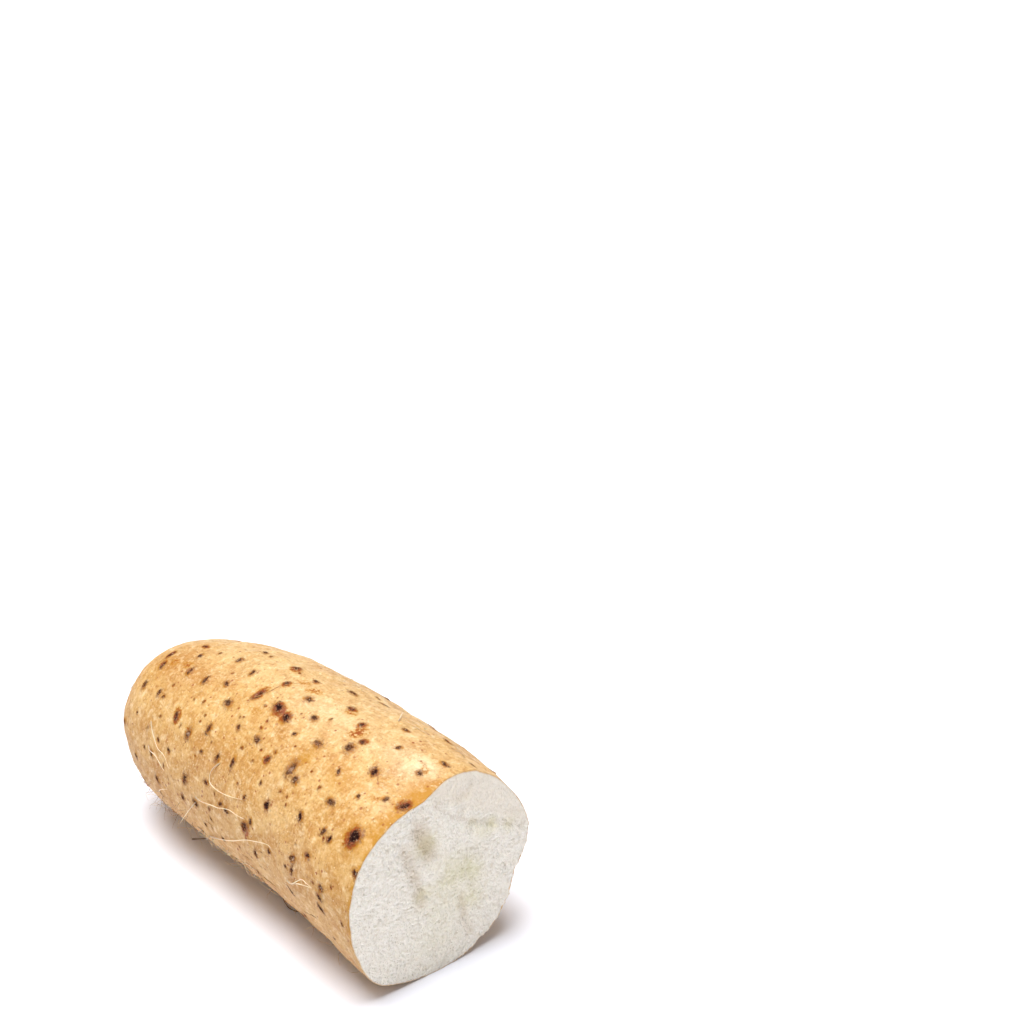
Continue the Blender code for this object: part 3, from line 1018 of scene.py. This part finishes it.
@dataclass(frozen=True)
class FleshFinish:
    """Moist broken flesh: white and granular, a little green and yellow in its folds."""

    white: Colour = paint(250, 242, 228)
    grey: Colour = paint(222, 207, 186)
    shade: Colour = paint(198, 176, 146)
    green: Colour = paint(214, 206, 150)
    tan: Colour = paint(214, 176, 130)

    def material(self) -> bpy.types.Material:
        """Makes the material.

        Grains are rounded cells, broken up by fine noise; the crescent above the crease is smoother
        and greyer, and toward the lower edge the grain is drawn out into short upright streaks. The
        hollows are darkened with the shade colour as painted shade.
        """
        board = Board.named("nagaimo_flesh")
        here = board.place()
        edge, tint, crescent, hollow = (board.value(key) for key in ("edge", "tint", "crescent", "hollow"))
        swirl = board.noise(here, 1.6, 3.0, 0.6)
        grain, _ = board.cells(here, 1.0)
        fine = board.noise(here, 0.55, 3.0, 0.65)
        streak = board.noise(board.place((1.0, 1.0, 0.35)), 0.9, 3.0, 0.6)
        clouds = board.noise(here, 5.0, 3.0)
        rough = 1 - 0.35 * crescent
        line = (edge + (fine - 0.5) * 0.9).fall(0.0, 0.5)
        colour = board.layered(
            self.white,
            (fine.rise(0.48, 0.66) * rough * 0.24, self.grey),
            (swirl.rise(0.50, 0.70) * rough * 0.35, self.grey),
            (streak.rise(0.54, 0.68) * edge.fall(4.0, 18.0) * 0.24, self.shade),
            (crescent * (0.20 + 0.4 * clouds), self.grey),
            ((tint * (0.15 + 3.0 * clouds * swirl)).clamped() * 0.55, self.green),
            # painted shade: the hollows of the face are darkened
            (hollow.clamped() * (0.20 + 0.9 * swirl), self.shade),
            (line * 0.6, self.tan),
        )
        height = (0.8 * (1 - grain) + 0.30 * fine + 0.9 * swirl + 0.45 * streak) * rough
        return board.shader(
            {
                "Base Color": colour,
                "Roughness": 0.36 + 0.2 * fine,
                "Normal": board.bump(height, 0.75, 0.9),
                "Specular IOR Level": 0.5,
                "Subsurface Weight": 0.15,
                "Subsurface Radius": (1.0, 0.85, 0.65),
                "Subsurface Scale": 0.0014,
            }
        )


@dataclass(frozen=True)
class RootletFinish:
    """Dry thin roots: straw coloured, browner where they leave the skin."""

    straw: Colour = paint(240, 220, 184)
    brown: Colour = paint(112, 74, 46)

    def material(self) -> bpy.types.Material:
        """Makes the material."""
        board = Board.named("nagaimo_rootlet")
        here = board.place()
        along, shade = board.value("along"), board.value("shade")
        streak = board.noise(here, 1.2, 2.0)
        browned = (along.fall(0.0, 0.35) * 0.5 + shade + 0.3 * (streak - 0.5)).clamped()
        return board.shader(
            {
                "Base Color": board.mix(browned, self.straw, self.brown),
                "Roughness": 0.5 + 0.2 * streak,
                "Normal": board.bump(streak, 0.05),
                "Subsurface Weight": 0.2,
                "Subsurface Scale": 0.0005,
            }
        )


@dataclass(frozen=True)
class FloorFinish:
    """The plain pale floor."""

    white: Colour = (0.92, 0.93, 1.0, 1.0)
    soft: Colour = (0.90, 0.91, 0.98, 1.0)

    def material(self) -> bpy.types.Material:
        """Makes the material."""
        board = Board.named("studio_floor")
        faint = board.noise(board.place(), 60.0, 2.0)
        colour = board.mix(faint * 0.5, self.white, self.soft)
        return board.shader({"Base Color": colour, "Roughness": 0.9, "Specular IOR Level": 0.1})


@dataclass
class Tuber:
    """The tuber's skin, from the tip to the rim, closed behind the broken flesh."""

    form: TuberForm
    scars: ScarField
    columns: int = 352
    tip_rows: int = 22
    body_rows: int = 222
    thickness: float = 0.14
    behind: float = 5.0
    behind_in: float = 0.6
    seat: tuple[float, float] = (0.30, 0.42)
    seat_edge: tuple[float, float] = (0.45, 1.05)

    def stations(self) -> Array:
        """Distances of the skin's rings: evenly round the curve of the tip, then along the body."""
        form = self.form
        angle = np.linspace(0, np.pi / 2, self.tip_rows + 1)[1:-1]
        tip = form.tip_depth * (1 - np.cos(angle) ** (2 / form.tip_bluntness))
        return np.concatenate([tip, np.linspace(form.tip_depth, form.length, self.body_rows + 1)])

    def built(self, skin: bpy.types.Material) -> bpy.types.Object:
        """Makes the closed skin.

        Formula: the worn skin on a net of stations and clock angles, let down under each scar, which
        is a finer piece of its own, by a depth and a share of its diameter, on an S-shaped curve of
        the distance to it; then two rings that turn in over the skin's thickness and go back behind
        the flesh, and a point that closes them.
        """
        form = self.form
        x, clock = np.meshgrid(self.stations(), clocks_round(self.columns), indexing="ij")
        points = form.worn_skin(x, clock)
        read, size, _ = self.scars.read(x.ravel(), clock.ravel(), points.reshape(-1, 3))
        down = (self.seat[0] + self.seat[1] * size) * (1 - smooth_step(read["near"], *self.seat_edge))
        points = points - form.outward(x, clock) * down.reshape(x.shape)[..., None]
        points[..., 2] = np.maximum(points[..., 2], 0)

        rim, middle = points[-1], form.face_middle()
        inward = (middle - rim) * [0, 1, 1]
        inward /= np.linalg.norm(inward, axis=1, keepdims=True)
        back = rim + self.behind_in * inward - [self.behind, 0, 0]
        turned = np.stack([rim + self.thickness * inward, back])
        tip = form.skin(0.0, 0.0)[None]
        end = middle[None] - [2 * self.behind, 0, 0]
        every = np.concatenate([tip, points.reshape(-1, 3), turned.reshape(-1, 3), end])
        triangles, squares = wrapped(len(x) + 2, self.columns)
        values = {}
        for name, value in read.items():
            plain = value[:1] * 0 + (self.scars.farthest if name in ("near", "core") else 0)
            edge = np.concatenate([value[-self.columns :]] * 2)
            values[name] = np.concatenate([plain, value, edge, plain])
        return Piece("tuber", every, triangles, squares, values).made(skin, form)


@dataclass
class Flesh:
    """The broken flesh inside the skin's rim, closed behind the face."""

    form: TuberForm
    columns: int = 448
    rings: int = 90
    crowding: float = 1.3
    inset: float = 0.10
    behind: float = 3.2
    behind_in: float = 0.8
    torn_clock: float = -22.0
    torn_spread: float = 55.0
    teeth_across: float = 0.34
    teeth_along: tuple[float, float] = (0.05, 0.42)
    teeth_reach: float = 0.45
    tear_reach: float = 1.5
    grain_level: float = 0.10
    lip: float = 0.10
    lip_reach: float = 0.2
    soft_crease: float = 2.5
    seed: int = 3

    def torn_rim(self, clock: Array) -> tuple[Array, Array, Array, Array]:
        """The flesh's rim, set in a little from the skin's and torn.

        Formula: random teeth, each drawn towards its neighbour, times e to minus the fourth power of
        the turn from the most torn clock angle, in spreads.

        Args:
            clock: The clock angle of each column.

        Returns:
            The rim, the directions from it to the face's middle, how far that is, and how far the
            teeth stand out along the tuber.
        """
        rim = self.form.worn_skin(np.full(self.columns, self.form.length), clock)
        inward = (self.form.face_middle() - rim) * [0, 1, 1]
        radius = np.linalg.norm(inward, axis=1, keepdims=True)
        torn = np.exp(-((turn_from(clock, self.torn_clock) / self.torn_spread) ** 4))
        teeth = np.random.default_rng(self.seed).uniform(-1, 1, (2, self.columns))
        teeth = 0.7 * teeth + 0.3 * np.roll(teeth, 1, axis=1)
        across = self.inset - self.teeth_across * torn * (teeth[0] + 0.2)
        along = (self.teeth_along[0] + self.teeth_along[1] * torn) * teeth[1]
        return rim + inward / radius * across[:, None], inward / radius, radius[:, 0], along

    def grains(self, y: Array, z: Array) -> Array:
        """Height of the grains.

        Formula: minus the size of random ripples, which gives round lumps with sharp creases between
        them, on slower ripples.
        """
        face = np.stack([y, z], axis=-1)
        lumps = sum(height * np.abs(ripples(face, length, seed)) for height, length, seed in FACE_LUMPS)
        height, length, seed = FACE_SWELL
        return height * ripples(face, length, seed) - lumps + self.grain_level

    def tint(self, y: Array, z: Array) -> Array:
        """How green the flesh is: the sum of a bell for each listed tint."""
        tint = np.zeros(y.shape)
        for at_y, at_z, spread, strength in FACE_TINTS:
            tint += strength * np.exp(-((y - at_y) ** 2 + (z - at_z) ** 2) / (2 * spread**2))
        return tint

    def built(self, flesh: bpy.types.Material) -> bpy.types.Object:
        """Makes the flesh.

        Formula: each ring is the rim drawn in towards the face's middle, closest together at the
        rim. A point stands out by the face's relief, by the tear and the teeth, which die away from
        the rim, and by the grains; a ring and a point behind the face close it.
        """
        form, middle = self.form, self.form.face_middle()
        clock = clocks_round(self.columns)
        rim, inward, radius, teeth = self.torn_rim(clock)
        steps = np.linspace(0, 1, self.rings + 1)
        reach = (1 - steps**self.crowding)[:, None, None]
        flat = np.array([0, 1, 1])
        points = middle + reach * (rim - middle) * flat
        y, z = points[..., 1], points[..., 2]
        inside = (1 - reach[..., 0]) * radius
        above = smooth_step(form.crescent(y, z), 0.0, self.soft_crease)
        rough = smooth_step(inside, 0.0, self.tear_reach) * (1 - 0.35 * above)
        edge_tear = form.tear(clock) * np.exp(-inside / self.tear_reach)
        ragged = teeth * np.exp(-inside / self.teeth_reach)
        points[..., 0] = form.length + form.face_relief(y, z) + edge_tear + ragged
        points[..., 0] += rough * self.grains(y, z) + self.lip * (1 - np.exp(-inside / self.lip_reach))

        back = (rim + self.behind_in * inward) * flat + np.array([form.length - self.behind, 0, 0])
        end = middle[None] - [1.5 * self.behind, 0, 0]
        every = np.concatenate([end, back, points[:-1].reshape(-1, 3), points[-1, :1]])
        triangles, squares = wrapped(self.rings + 1, self.columns)
        # how deep the face's hollows are; the material darkens them as painted shade
        hollow = np.maximum(-form.folds(y, z), 0)
        shown = {"edge": inside, "tint": self.tint(y, z), "crescent": above, "hollow": hollow}
        values = {}
        for name, value in shown.items():
            hidden = np.full(self.columns + 1, value[0, 0])
            values[name] = np.concatenate([hidden, value[:-1].ravel(), value[-1, :1]])
        return Piece("flesh", every, triangles, squares, values).made(flesh, form)


@dataclass
class RootScars:
    """Every root scar as a small worked disc, its edge tucked just under the skin about it."""

    form: TuberForm
    scars: ScarField
    rings: int = 13
    sides: int = 26
    reach: float = 1.5
    crowding: float = 1.35
    raised: float = 0.02
    tucked: float = 0.07
    tuck_from: float = 0.75
    give_way: float = 0.6
    underside: tuple[float, float] = (0.7, 0.5)
    soft_end: float = 2.0

    def held_in(self, x: Array) -> Array:
        """Distances kept off the tip and the rim, pressed together smoothly near the rim."""
        start = self.form.length - self.soft_end
        over = np.maximum(x - start, 0)
        pressed = start + (self.soft_end - 0.1) * np.tanh(over / self.soft_end)
        return np.maximum(np.where(x > start, pressed, x), 0.02)

    def built(self, skin: bpy.types.Material) -> bpy.types.Object:
        """Makes all the discs as one piece.

        Formula: a disc is a polar net about its scar, closest together at the centre, laid on the
        skin and raised by the scars' relief. It goes down where another scar is nearer, so that each
        disc shows its own scar. A point below the pit, by a depth and a share of the diameter,
        closes it.
        """
        scars = self.scars.scars
        listed = [(scar.diameter, scar.stretch, scar.x, scar.clock) for scar in scars]
        size, stretch, x0, clock0 = np.array(listed, float).T
        t = np.linspace(0, 1, self.rings + 1)[1:]
        radius = np.repeat(self.reach * t**self.crowding, self.sides)[None] * (size * stretch)[:, None]
        angle = np.tile(np.arange(self.sides) * 2 * np.pi / self.sides, self.rings)[None]
        along, about = (np.linalg.norm(way, axis=-1)[:, None] for way in self.form.slopes(x0, clock0))
        x = x0[:, None] + radius * np.cos(angle) / along
        clock = clock0[:, None] + radius * np.sin(angle) / about
        x = self.held_in(np.concatenate([x0[:, None], x, x0[:, None]], axis=1))
        clock = np.concatenate([clock0[:, None], clock, clock0[:, None]], axis=1)
        points = self.form.worn_skin(x, clock)
        read, _, relief = self.scars.read(x.ravel(), clock.ravel(), points.reshape(-1, 3))
        own = np.stack([scar.local(points[n])[0] for n, scar in enumerate(scars)])
        share = np.concatenate([[0], np.repeat(t, self.sides), [0]])[None]
        height = relief.reshape(own.shape) + self.raised
        height = height - (self.raised + self.tucked) * smooth_step(share, self.tuck_from, 1.0)
        height = height - self.give_way * smooth_step(own - read["near"].reshape(own.shape), 0.02, 0.30)
        height[:, -1] = -(self.underside[0] + self.underside[1] * size)
        points = points + self.form.outward(x, clock) * height[..., None]
        points[..., 2] = np.maximum(points[..., 2], 0)
        triangles, squares = wrapped(self.rings, self.sides, len(scars))
        return Piece("root_scars", points.reshape(-1, 3), triangles, squares, read).made(skin, self.form)


@dataclass(frozen=True)
class Tubes:
    """Thin tapering tubes along paths, which the trails and the rootlets are made from."""

    form: TuberForm
    rings: int = 22
    sides: int = 5
    taper: float = 0.65
    wave: float = 0.2
    wave_turn: float = 20.0
    never_along: tuple[float, float, float] = (0.31, 0.22, 0.92)

    def path(self, stops: Array) -> Array:
        """A smooth curve through the stops, in even steps of the stop number.

        Formula: between two stops, the cubic that passes through both with the slope of the line
        between their neighbours.
        """
        before, after = 2 * stops[0] - stops[1], 2 * stops[-1] - stops[-2]
        ends = np.concatenate([before[None], stops, after[None]])
        t = np.linspace(0, len(stops) - 1, self.rings + 2)
        k = np.minimum(t.astype(int), len(stops) - 2)
        t = (t - k)[:, None]
        a, b, c, d = (ends[k + n] for n in range(4))
        bent = (2 * a - 5 * b + 4 * c - d) * t**2 + (3 * b - a - 3 * c + d) * t**3
        return 0.5 * (2 * b + (c - a) * t + bent)

    def on_skin(self, walk: Array, lowest: float) -> Array:
        """Places given by distance, clock and height off the skin, as points not below a height."""
        x = np.clip(walk[:, 0], 1, self.form.length - 1)
        points = self.form.worn_skin(x, walk[:, 1])
        points = points + self.form.outward(x, walk[:, 1]) * walk[:, 2:3]
        points[:, 2] = np.maximum(points[:, 2], lowest)
        return points

    def tube(self, path: Array, thick: float) -> Array:
        """Points of one tube: a start point, rings square to the path, and an end point.

        Formula: the radius falls evenly to the far end, and swells and shrinks a little as a sine.
        """
        lean = np.gradient(path, axis=0)
        lean /= np.linalg.norm(lean, axis=1, keepdims=True)
        side = np.cross(lean, self.never_along)
        side /= np.linalg.norm(side, axis=1, keepdims=True)
        over = np.cross(lean, side)
        share = np.linspace(0, 1, len(path))[:, None, None]
        radius = thick * (1 - self.taper * share) * (1 + self.wave * np.sin(self.wave_turn * share))
        angle = np.arange(self.sides)[None, :, None] * 2 * np.pi / self.sides
        rings = path[:, None] + radius * (side[:, None] * np.cos(angle) + over[:, None] * np.sin(angle))
        return np.concatenate([path[:1], rings[1:-1].reshape(-1, 3), path[-1:]])

    def share(self) -> Array:
        """How far along its tube each point is, from 0 to 1."""
        return np.concatenate([[0], np.repeat(np.linspace(0, 1, self.rings), self.sides), [1]])

    def piece(self, name: str, tubes: list[Array], values: dict[str, Array]) -> Piece:
        """All the tubes as one piece."""
        triangles, squares = wrapped(self.rings, self.sides, len(tubes))
        return Piece(name, np.concatenate(tubes), triangles, squares, values)


# Brown root trails and creases in the skin, the creases' brown being painted shade of the groove: how
# dark, how thick, then distance and clock of each point
TRAILS = (
    (0.55, 0.26, (64, 116), (67.5, 111.5), (69.5, 105.5), (70.5, 99), (72, 94), (75, 89), (77, 85)),
    (0.60, 0.26, (81.5, 132), (80.5, 134.5), (79, 137), (77, 139.5)),
    (0.90, 0.36, (52, 149), (52.3, 152), (52, 154.5), (51.6, 157)),
    (0.80, 0.30, (77, 149), (77.4, 151.5), (77.2, 154), (76.8, 156.5)),
    (0.90, 0.28, (104.5, 113.5), (102.8, 115.5), (102.4, 118.5), (102, 122)),
    (0.40, 0.24, (69, 151), (68.3, 154), (67, 158)),
    (0.60, 0.18, (128.5, 109), (130, 108.5), (131.8, 110.8), (133, 109.5), (135, 108), (137.5, 103)),
    (0.75, 0.30, (91, -171), (93, -168.5), (95, -166)),
    (0.75, 0.30, (113.5, -172), (117.5, -168), (121.5, -165.5)),
    (0.65, 0.30, (131.5, -178), (133, -175), (135, -172)),
    (0.50, 0.20, (56, 170), (54.5, 167.5), (53.5, 165.5)),
    (0.50, 0.20, (56, 171), (58, 173.5), (59, 176)),
    (0.50, 0.20, (55.5, 171.5), (53.5, 173), (51.5, 173.5)),
    (0.45, 0.20, (39, -176), (40.5, -173), (42.5, -170.5)),
    (0.45, 0.20, (39, -177), (37, 180), (36, 177)),
    (0.60, 0.22, (89.5, 61), (92, 59), (94.5, 57.5)),
    (0.50, 0.22, (96, 66.5), (99, 62.5), (102, 60.5)),
    (0.40, 0.20, (116, 73), (117.5, 69), (116, 62), (115, 56)),
    (0.45, 0.22, (139, 64.5), (142, 62.5), (145, 60.5)),
    (0.35, 0.20, (47.5, 172), (46, 177), (47, -178), (49, -176)),
    (0.35, 0.20, (100.5, 152), (97, 153), (94, 153.5)),
    (0.30, 0.20, (122.5, 135), (120.5, 137.5), (119.5, 140.5)),
    (0.55, 0.12, (60, -170), (72, -171), (86, -173.5)),
    (0.50, 0.12, (84, -164), (99, -167), (116, -171)),
    (0.50, 0.10, (70, -176), (77, -177), (84, -179)),
    (0.60, 0.14, (98, -178), (103, -179), (109, -181)),
    (0.50, 0.12, (118, -158), (127, -162), (138, -166)),
    (0.45, 0.12, (90, -156), (104, -159), (114, -162)),
)


@dataclass(frozen=True)
class Trails:
    """Root trails and creases: thin brown cords that lie half sunk in the skin; the brown of the creases
    is painted shade.
    """

    tubes: Tubes
    depth: float = 0.5
    fuller: float = 1.4
    lowest: float = 0.1
    clear_of_scars: float = 3.0

    def built(self, skin: bpy.types.Material) -> bpy.types.Object:
        """Makes the trails, each sunk by part of its thickness, and thin at both ends."""
        made, dark = [], []
        for shade, listed, *stops in TRAILS:
            thick = self.fuller * listed
            walk = np.array([(*stop, -self.depth * thick) for stop in stops], float)
            walk[:, 1] = np.unwrap(walk[:, 1], period=360)
            walk[[0, -1], 2] -= 0.5 * thick
            made.append(self.tubes.tube(self.tubes.path(self.tubes.on_skin(walk, self.lowest)), thick))
            dark.append(shade)
        trail_and_crease_shade = np.repeat(dark, len(self.tubes.share()))
        clear = np.full(len(trail_and_crease_shade), self.clear_of_scars)
        values = {"trail_and_crease_shade": trail_and_crease_shade, "near": clear, "core": clear}
        return self.tubes.piece("root_trails", made, values).made(skin, self.tubes.form)


# Rootlets of the near side: distance, clock and height off the skin of each point
ROOTLETS = (
    ((31, 152, 0.2), (34, 156, 0.9), (38.5, 164, 0.5), (43, 166, 0.4), (48, 171, 0.7)),
    (
        (33, 166, 0.2), (35, 168, 0.8), (37.5, 169, 0.5),
        (40.5, 170.5, 0.7), (42.5, 173, 0.4), (44, 175, 0.1),
    ),
    (
        (72, 151, 0.2), (70, 157, 0.9), (70, 163, 0.5), (74, 164.5, 0.9),
        (79, 164, 0.6), (84.5, 162, 0.4), (88.5, 160, 0.1),
    ),
    (
        (62, 177, 0.3), (67, 176, 1.1), (72, 175, 0.5), (76.5, 173, 0.8),
        (82, 170, 0.5), (87, 169, 0.8), (91, 169, 0.2),
    ),
    ((62, 181, 0.1), (58, 189, 1.0), (54, 197, 2.4), (50, 204, 3.0)),
    (
        (63, -156, 0.3), (73.5, -165, 0.7), (83.5, -173, 0.9), (91.5, -180, 0.5),
        (97.5, -184, 0.9), (103.5, -187, 0.6), (105.5, -186, 0.1),
    ),
    ((114.5, -176, 0.3), (118.5, -178, 1.0), (123, -184, 0.5), (126, -185, 0.8), (128, -184, 0.2)),
    ((117, -176, 0.3), (122, -181, 0.9), (126, -183, 0.5), (128.5, -184, 0.2)),
    ((38, -166, 0.3), (41, -171, 0.8), (45, -174, 0.2)),
    ((112, 73, 0.1), (108, 66, 1.0), (105, 60, 0.4)),
)

# Brown roots that lie on the surface by the underside: each point in millimetres
FLOOR_ROOTS = (
    (
        (99, -11, 0.8), (96, -15.2, 0.35), (92, -17.4, 0.3), (88, -17, 0.3),
        (84, -15.2, 0.3), (82.5, -12, 0.35), (83, -9, 0.5),
    ),
    ((36.6, -19, 0.3), (38.6, -16.5, 0.3), (41.5, -12.7, 0.35), (44.2, -11, 0.5), (48, -8.5, 1.0)),
)

# Families of fine hairs: how many, between which distances and which clocks, how far each step drifts
# along and about, how far it lifts, then thickness and brownness
HAIRS = (
    (30, (12, 140), (-150, -112), (1.4, 1.6), 1.0, 0.07, 0.5),
    (50, (56, 92), (-158, -146), (0.9, 1.2), 0.35, 0.12, 0.1),
    (44, (16, 54), (-170, -150), (0.9, 1.6), 1.2, 0.055, 0.6),
    (34, (60, 143), (48, 67), (1.8, 0.8), 0.06, 0.07, 0.4),
    (11, (30, 143), (-20, 46), (1.8, 1.4), 0.06, 0.07, 0.3),
)


@dataclass
class Rootlets:
    """The dry thin roots: the listed ones, and sparse rules for the edges and the side turned away."""

    tubes: Tubes
    thickness: float = 0.20
    far_count: int = 34
    far_distances: tuple[float, float] = (15, 138)
    far_clocks: tuple[float, float] = (-140, 30)
    far_reach: tuple[float, float] = (2.5, 6.0)
    lift: tuple[float, float] = (0.3, 1.3)
    lowest: float = 0.3
    clearance: float = 1.25
    floor_thickness: float = 0.17
    floor_brown: float = 0.9
    seed: int = 5

    def walks(self) -> list[tuple[Array, float, float]]:
        """Each root's stops on the skin, its thickness and how brown it is.

        Formula: a root of the side turned away goes four even steps in a random direction, and a
        fine hair five, with a little random wandering; both lift off the skin as they go.
        """
        found = [(np.array(listed, float), self.thickness, 0.0) for listed in ROOTLETS]
        rng = np.random.default_rng(self.seed)
        for _ in range(self.far_count):
            x, clock = rng.uniform(*self.far_distances), rng.uniform(*self.far_clocks)
            lean, reach = rng.uniform(0, 2 * np.pi), rng.uniform(*self.far_reach)
            steps = np.arange(4)[:, None]
            walk = steps * [reach * np.cos(lean), reach * 1.6 * np.sin(lean), 0]
            walk = walk + rng.normal(size=(4, 3)) * [1.0, 2.0, 0.0] + [x, clock, 0.0]
            walk[:, 2] = [0.0, *rng.uniform(*self.lift, 3)]
            found.append((walk, self.thickness * rng.uniform(0.6, 1.0), rng.uniform(0, 0.3)))
        for count, distances, clocks, drift, lifted, thick, brown in HAIRS:
            for _ in range(count):
                x, clock = rng.uniform(*distances), rng.uniform(*clocks)
                pull = rng.normal(size=2) * drift
                walk = np.zeros((5, 3)) + [x, clock, 0.0]
                wander = rng.normal(size=(5, 2)) * np.array(drift) * 0.3
                walk[:, :2] += np.arange(5)[:, None] * pull + wander
                walk[1:, 2] = np.cumsum(rng.uniform(*self.lift, 4) * lifted)
                shade = np.clip(brown + rng.uniform(-0.35, 0.35), 0, 1)
                found.append((walk, thick * rng.uniform(0.7, 1.2), shade))
        return found

    def built(self, straw: bpy.types.Material) -> bpy.types.Object:
        """Makes all the rootlets as one piece."""
        tubes = self.tubes
        made, browns = [], []
        for walk, thick, brown in self.walks():
            path = tubes.path(tubes.on_skin(walk, self.lowest))
            path[:, 2] = np.maximum(path[:, 2], self.clearance * thick)
            made.append(tubes.tube(path, thick))
            browns.append(brown)
        for stops in FLOOR_ROOTS:
            made.append(tubes.tube(tubes.path(np.array(stops, float)), self.floor_thickness))
            browns.append(self.floor_brown)
        share = tubes.share()
        values = {"along": np.tile(share, len(made)), "shade": np.repeat(browns, len(share))}
        return tubes.piece("rootlets", made, values).made(straw, tubes.form)


# The studio's soft lights: name, the way to the light, its width in degrees, its strength
LIGHTS = (
    ("top_light", (-0.06, -0.10, 1.0), 42.0, 3.95),
    ("left_light", (-0.40, -0.50, 1.0), 60.0, 0.50),
    ("back_light", (-0.50, 0.60, 0.9), 60.0, 0.30),
    ("face_light", (0.80, -0.25, 0.55), 60.0, 0.64),
)


@dataclass(frozen=True)
class Studio:
    """The floor, the soft light and the camera."""

    camera_at: tuple[float, float, float] = (0.5144, -0.3613, 0.4281)
    azimuth: float = 48.7
    elevation: float = 25.5
    lens: float = 79.1
    floor_half: float = 12.0
    sky: float = 0.03

    def floor(self) -> None:
        """Lays the floor at the height that the tuber rests on."""
        mesh = bpy.data.meshes.new("studio_floor")
        half = self.floor_half
        corners = [(-half, -half, 0), (half, -half, 0), (half, half, 0), (-half, half, 0)]
        mesh.from_pydata(corners, [], [(0, 1, 2, 3)])
        mesh.materials.append(FloorFinish().material())
        floor = bpy.data.objects.new("studio_floor", mesh)
        bpy.context.scene.collection.objects.link(floor)

    def light(self) -> None:
        """A dim white room, a wide soft light overhead and the weaker ones beside it."""
        world = bpy.data.worlds.new("studio_room")
        world.use_nodes = True
        background = world.node_tree.nodes["Background"]
        background.inputs["Color"].default_value = (1.0, 1.0, 1.0, 1.0)
        background.inputs["Strength"].default_value = self.sky
        bpy.context.scene.world = world
        for name, toward, width, strength in LIGHTS:
            lamp = bpy.data.lights.new(name, "SUN")
            lamp.energy, lamp.angle = strength, np.radians(width)
            hung = bpy.data.objects.new(name, lamp)
            hung.rotation_euler = (-Vector(toward)).to_track_quat("-Z", "Y").to_euler()
            bpy.context.scene.collection.objects.link(hung)

    def camera(self) -> None:
        """Puts the camera where the photograph was taken from."""
        turn, tilt = np.radians([self.azimuth, self.elevation])
        forward = Vector((-np.sin(turn) * np.cos(tilt), np.cos(turn) * np.cos(tilt), -np.sin(tilt)))
        camera = bpy.data.objects.new("camera", bpy.data.cameras.new("camera"))
        camera.data.sensor_width, camera.data.lens = 36.0, self.lens
        camera.data.clip_start, camera.data.clip_end = 0.01, 20.0
        camera.location = self.camera_at
        camera.rotation_euler = forward.to_track_quat("-Z", "Y").to_euler()
        bpy.context.scene.collection.objects.link(camera)
        bpy.context.scene.camera = camera
        bpy.context.scene.view_settings.view_transform = "Standard"

    def built(self) -> None:
        """Sets up the whole studio."""
        self.floor()
        self.light()
        self.camera()
        LOG.info("studio: floor, room, %d lights and the camera", len(LIGHTS))


def main() -> None:
    """Builds each piece in order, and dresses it."""
    logging.basicConfig(level=logging.INFO, format="%(name)s: %(message)s")
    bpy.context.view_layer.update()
    form = TuberForm()
    scars = ScarField(form)
    tubes = Tubes(form)
    LOG.info("%d root scars placed", len(scars.scars))
    skin, flesh, straw = SkinFinish().material(), FleshFinish().material(), RootletFinish().material()

    tuber = Tuber(form, scars).built(skin)
    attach(tuber, "root")
    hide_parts("nagaimo")

    face = Flesh(form).built(flesh)
    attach(face, "root")

    discs = RootScars(form, scars).built(skin)
    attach(discs, "root")

    trails = Trails(tubes).built(skin)
    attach(trails, "root")

    roots = Rootlets(tubes).built(straw)
    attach(roots, "root")

    Studio().built()


if __name__ == "__main__":
    main()
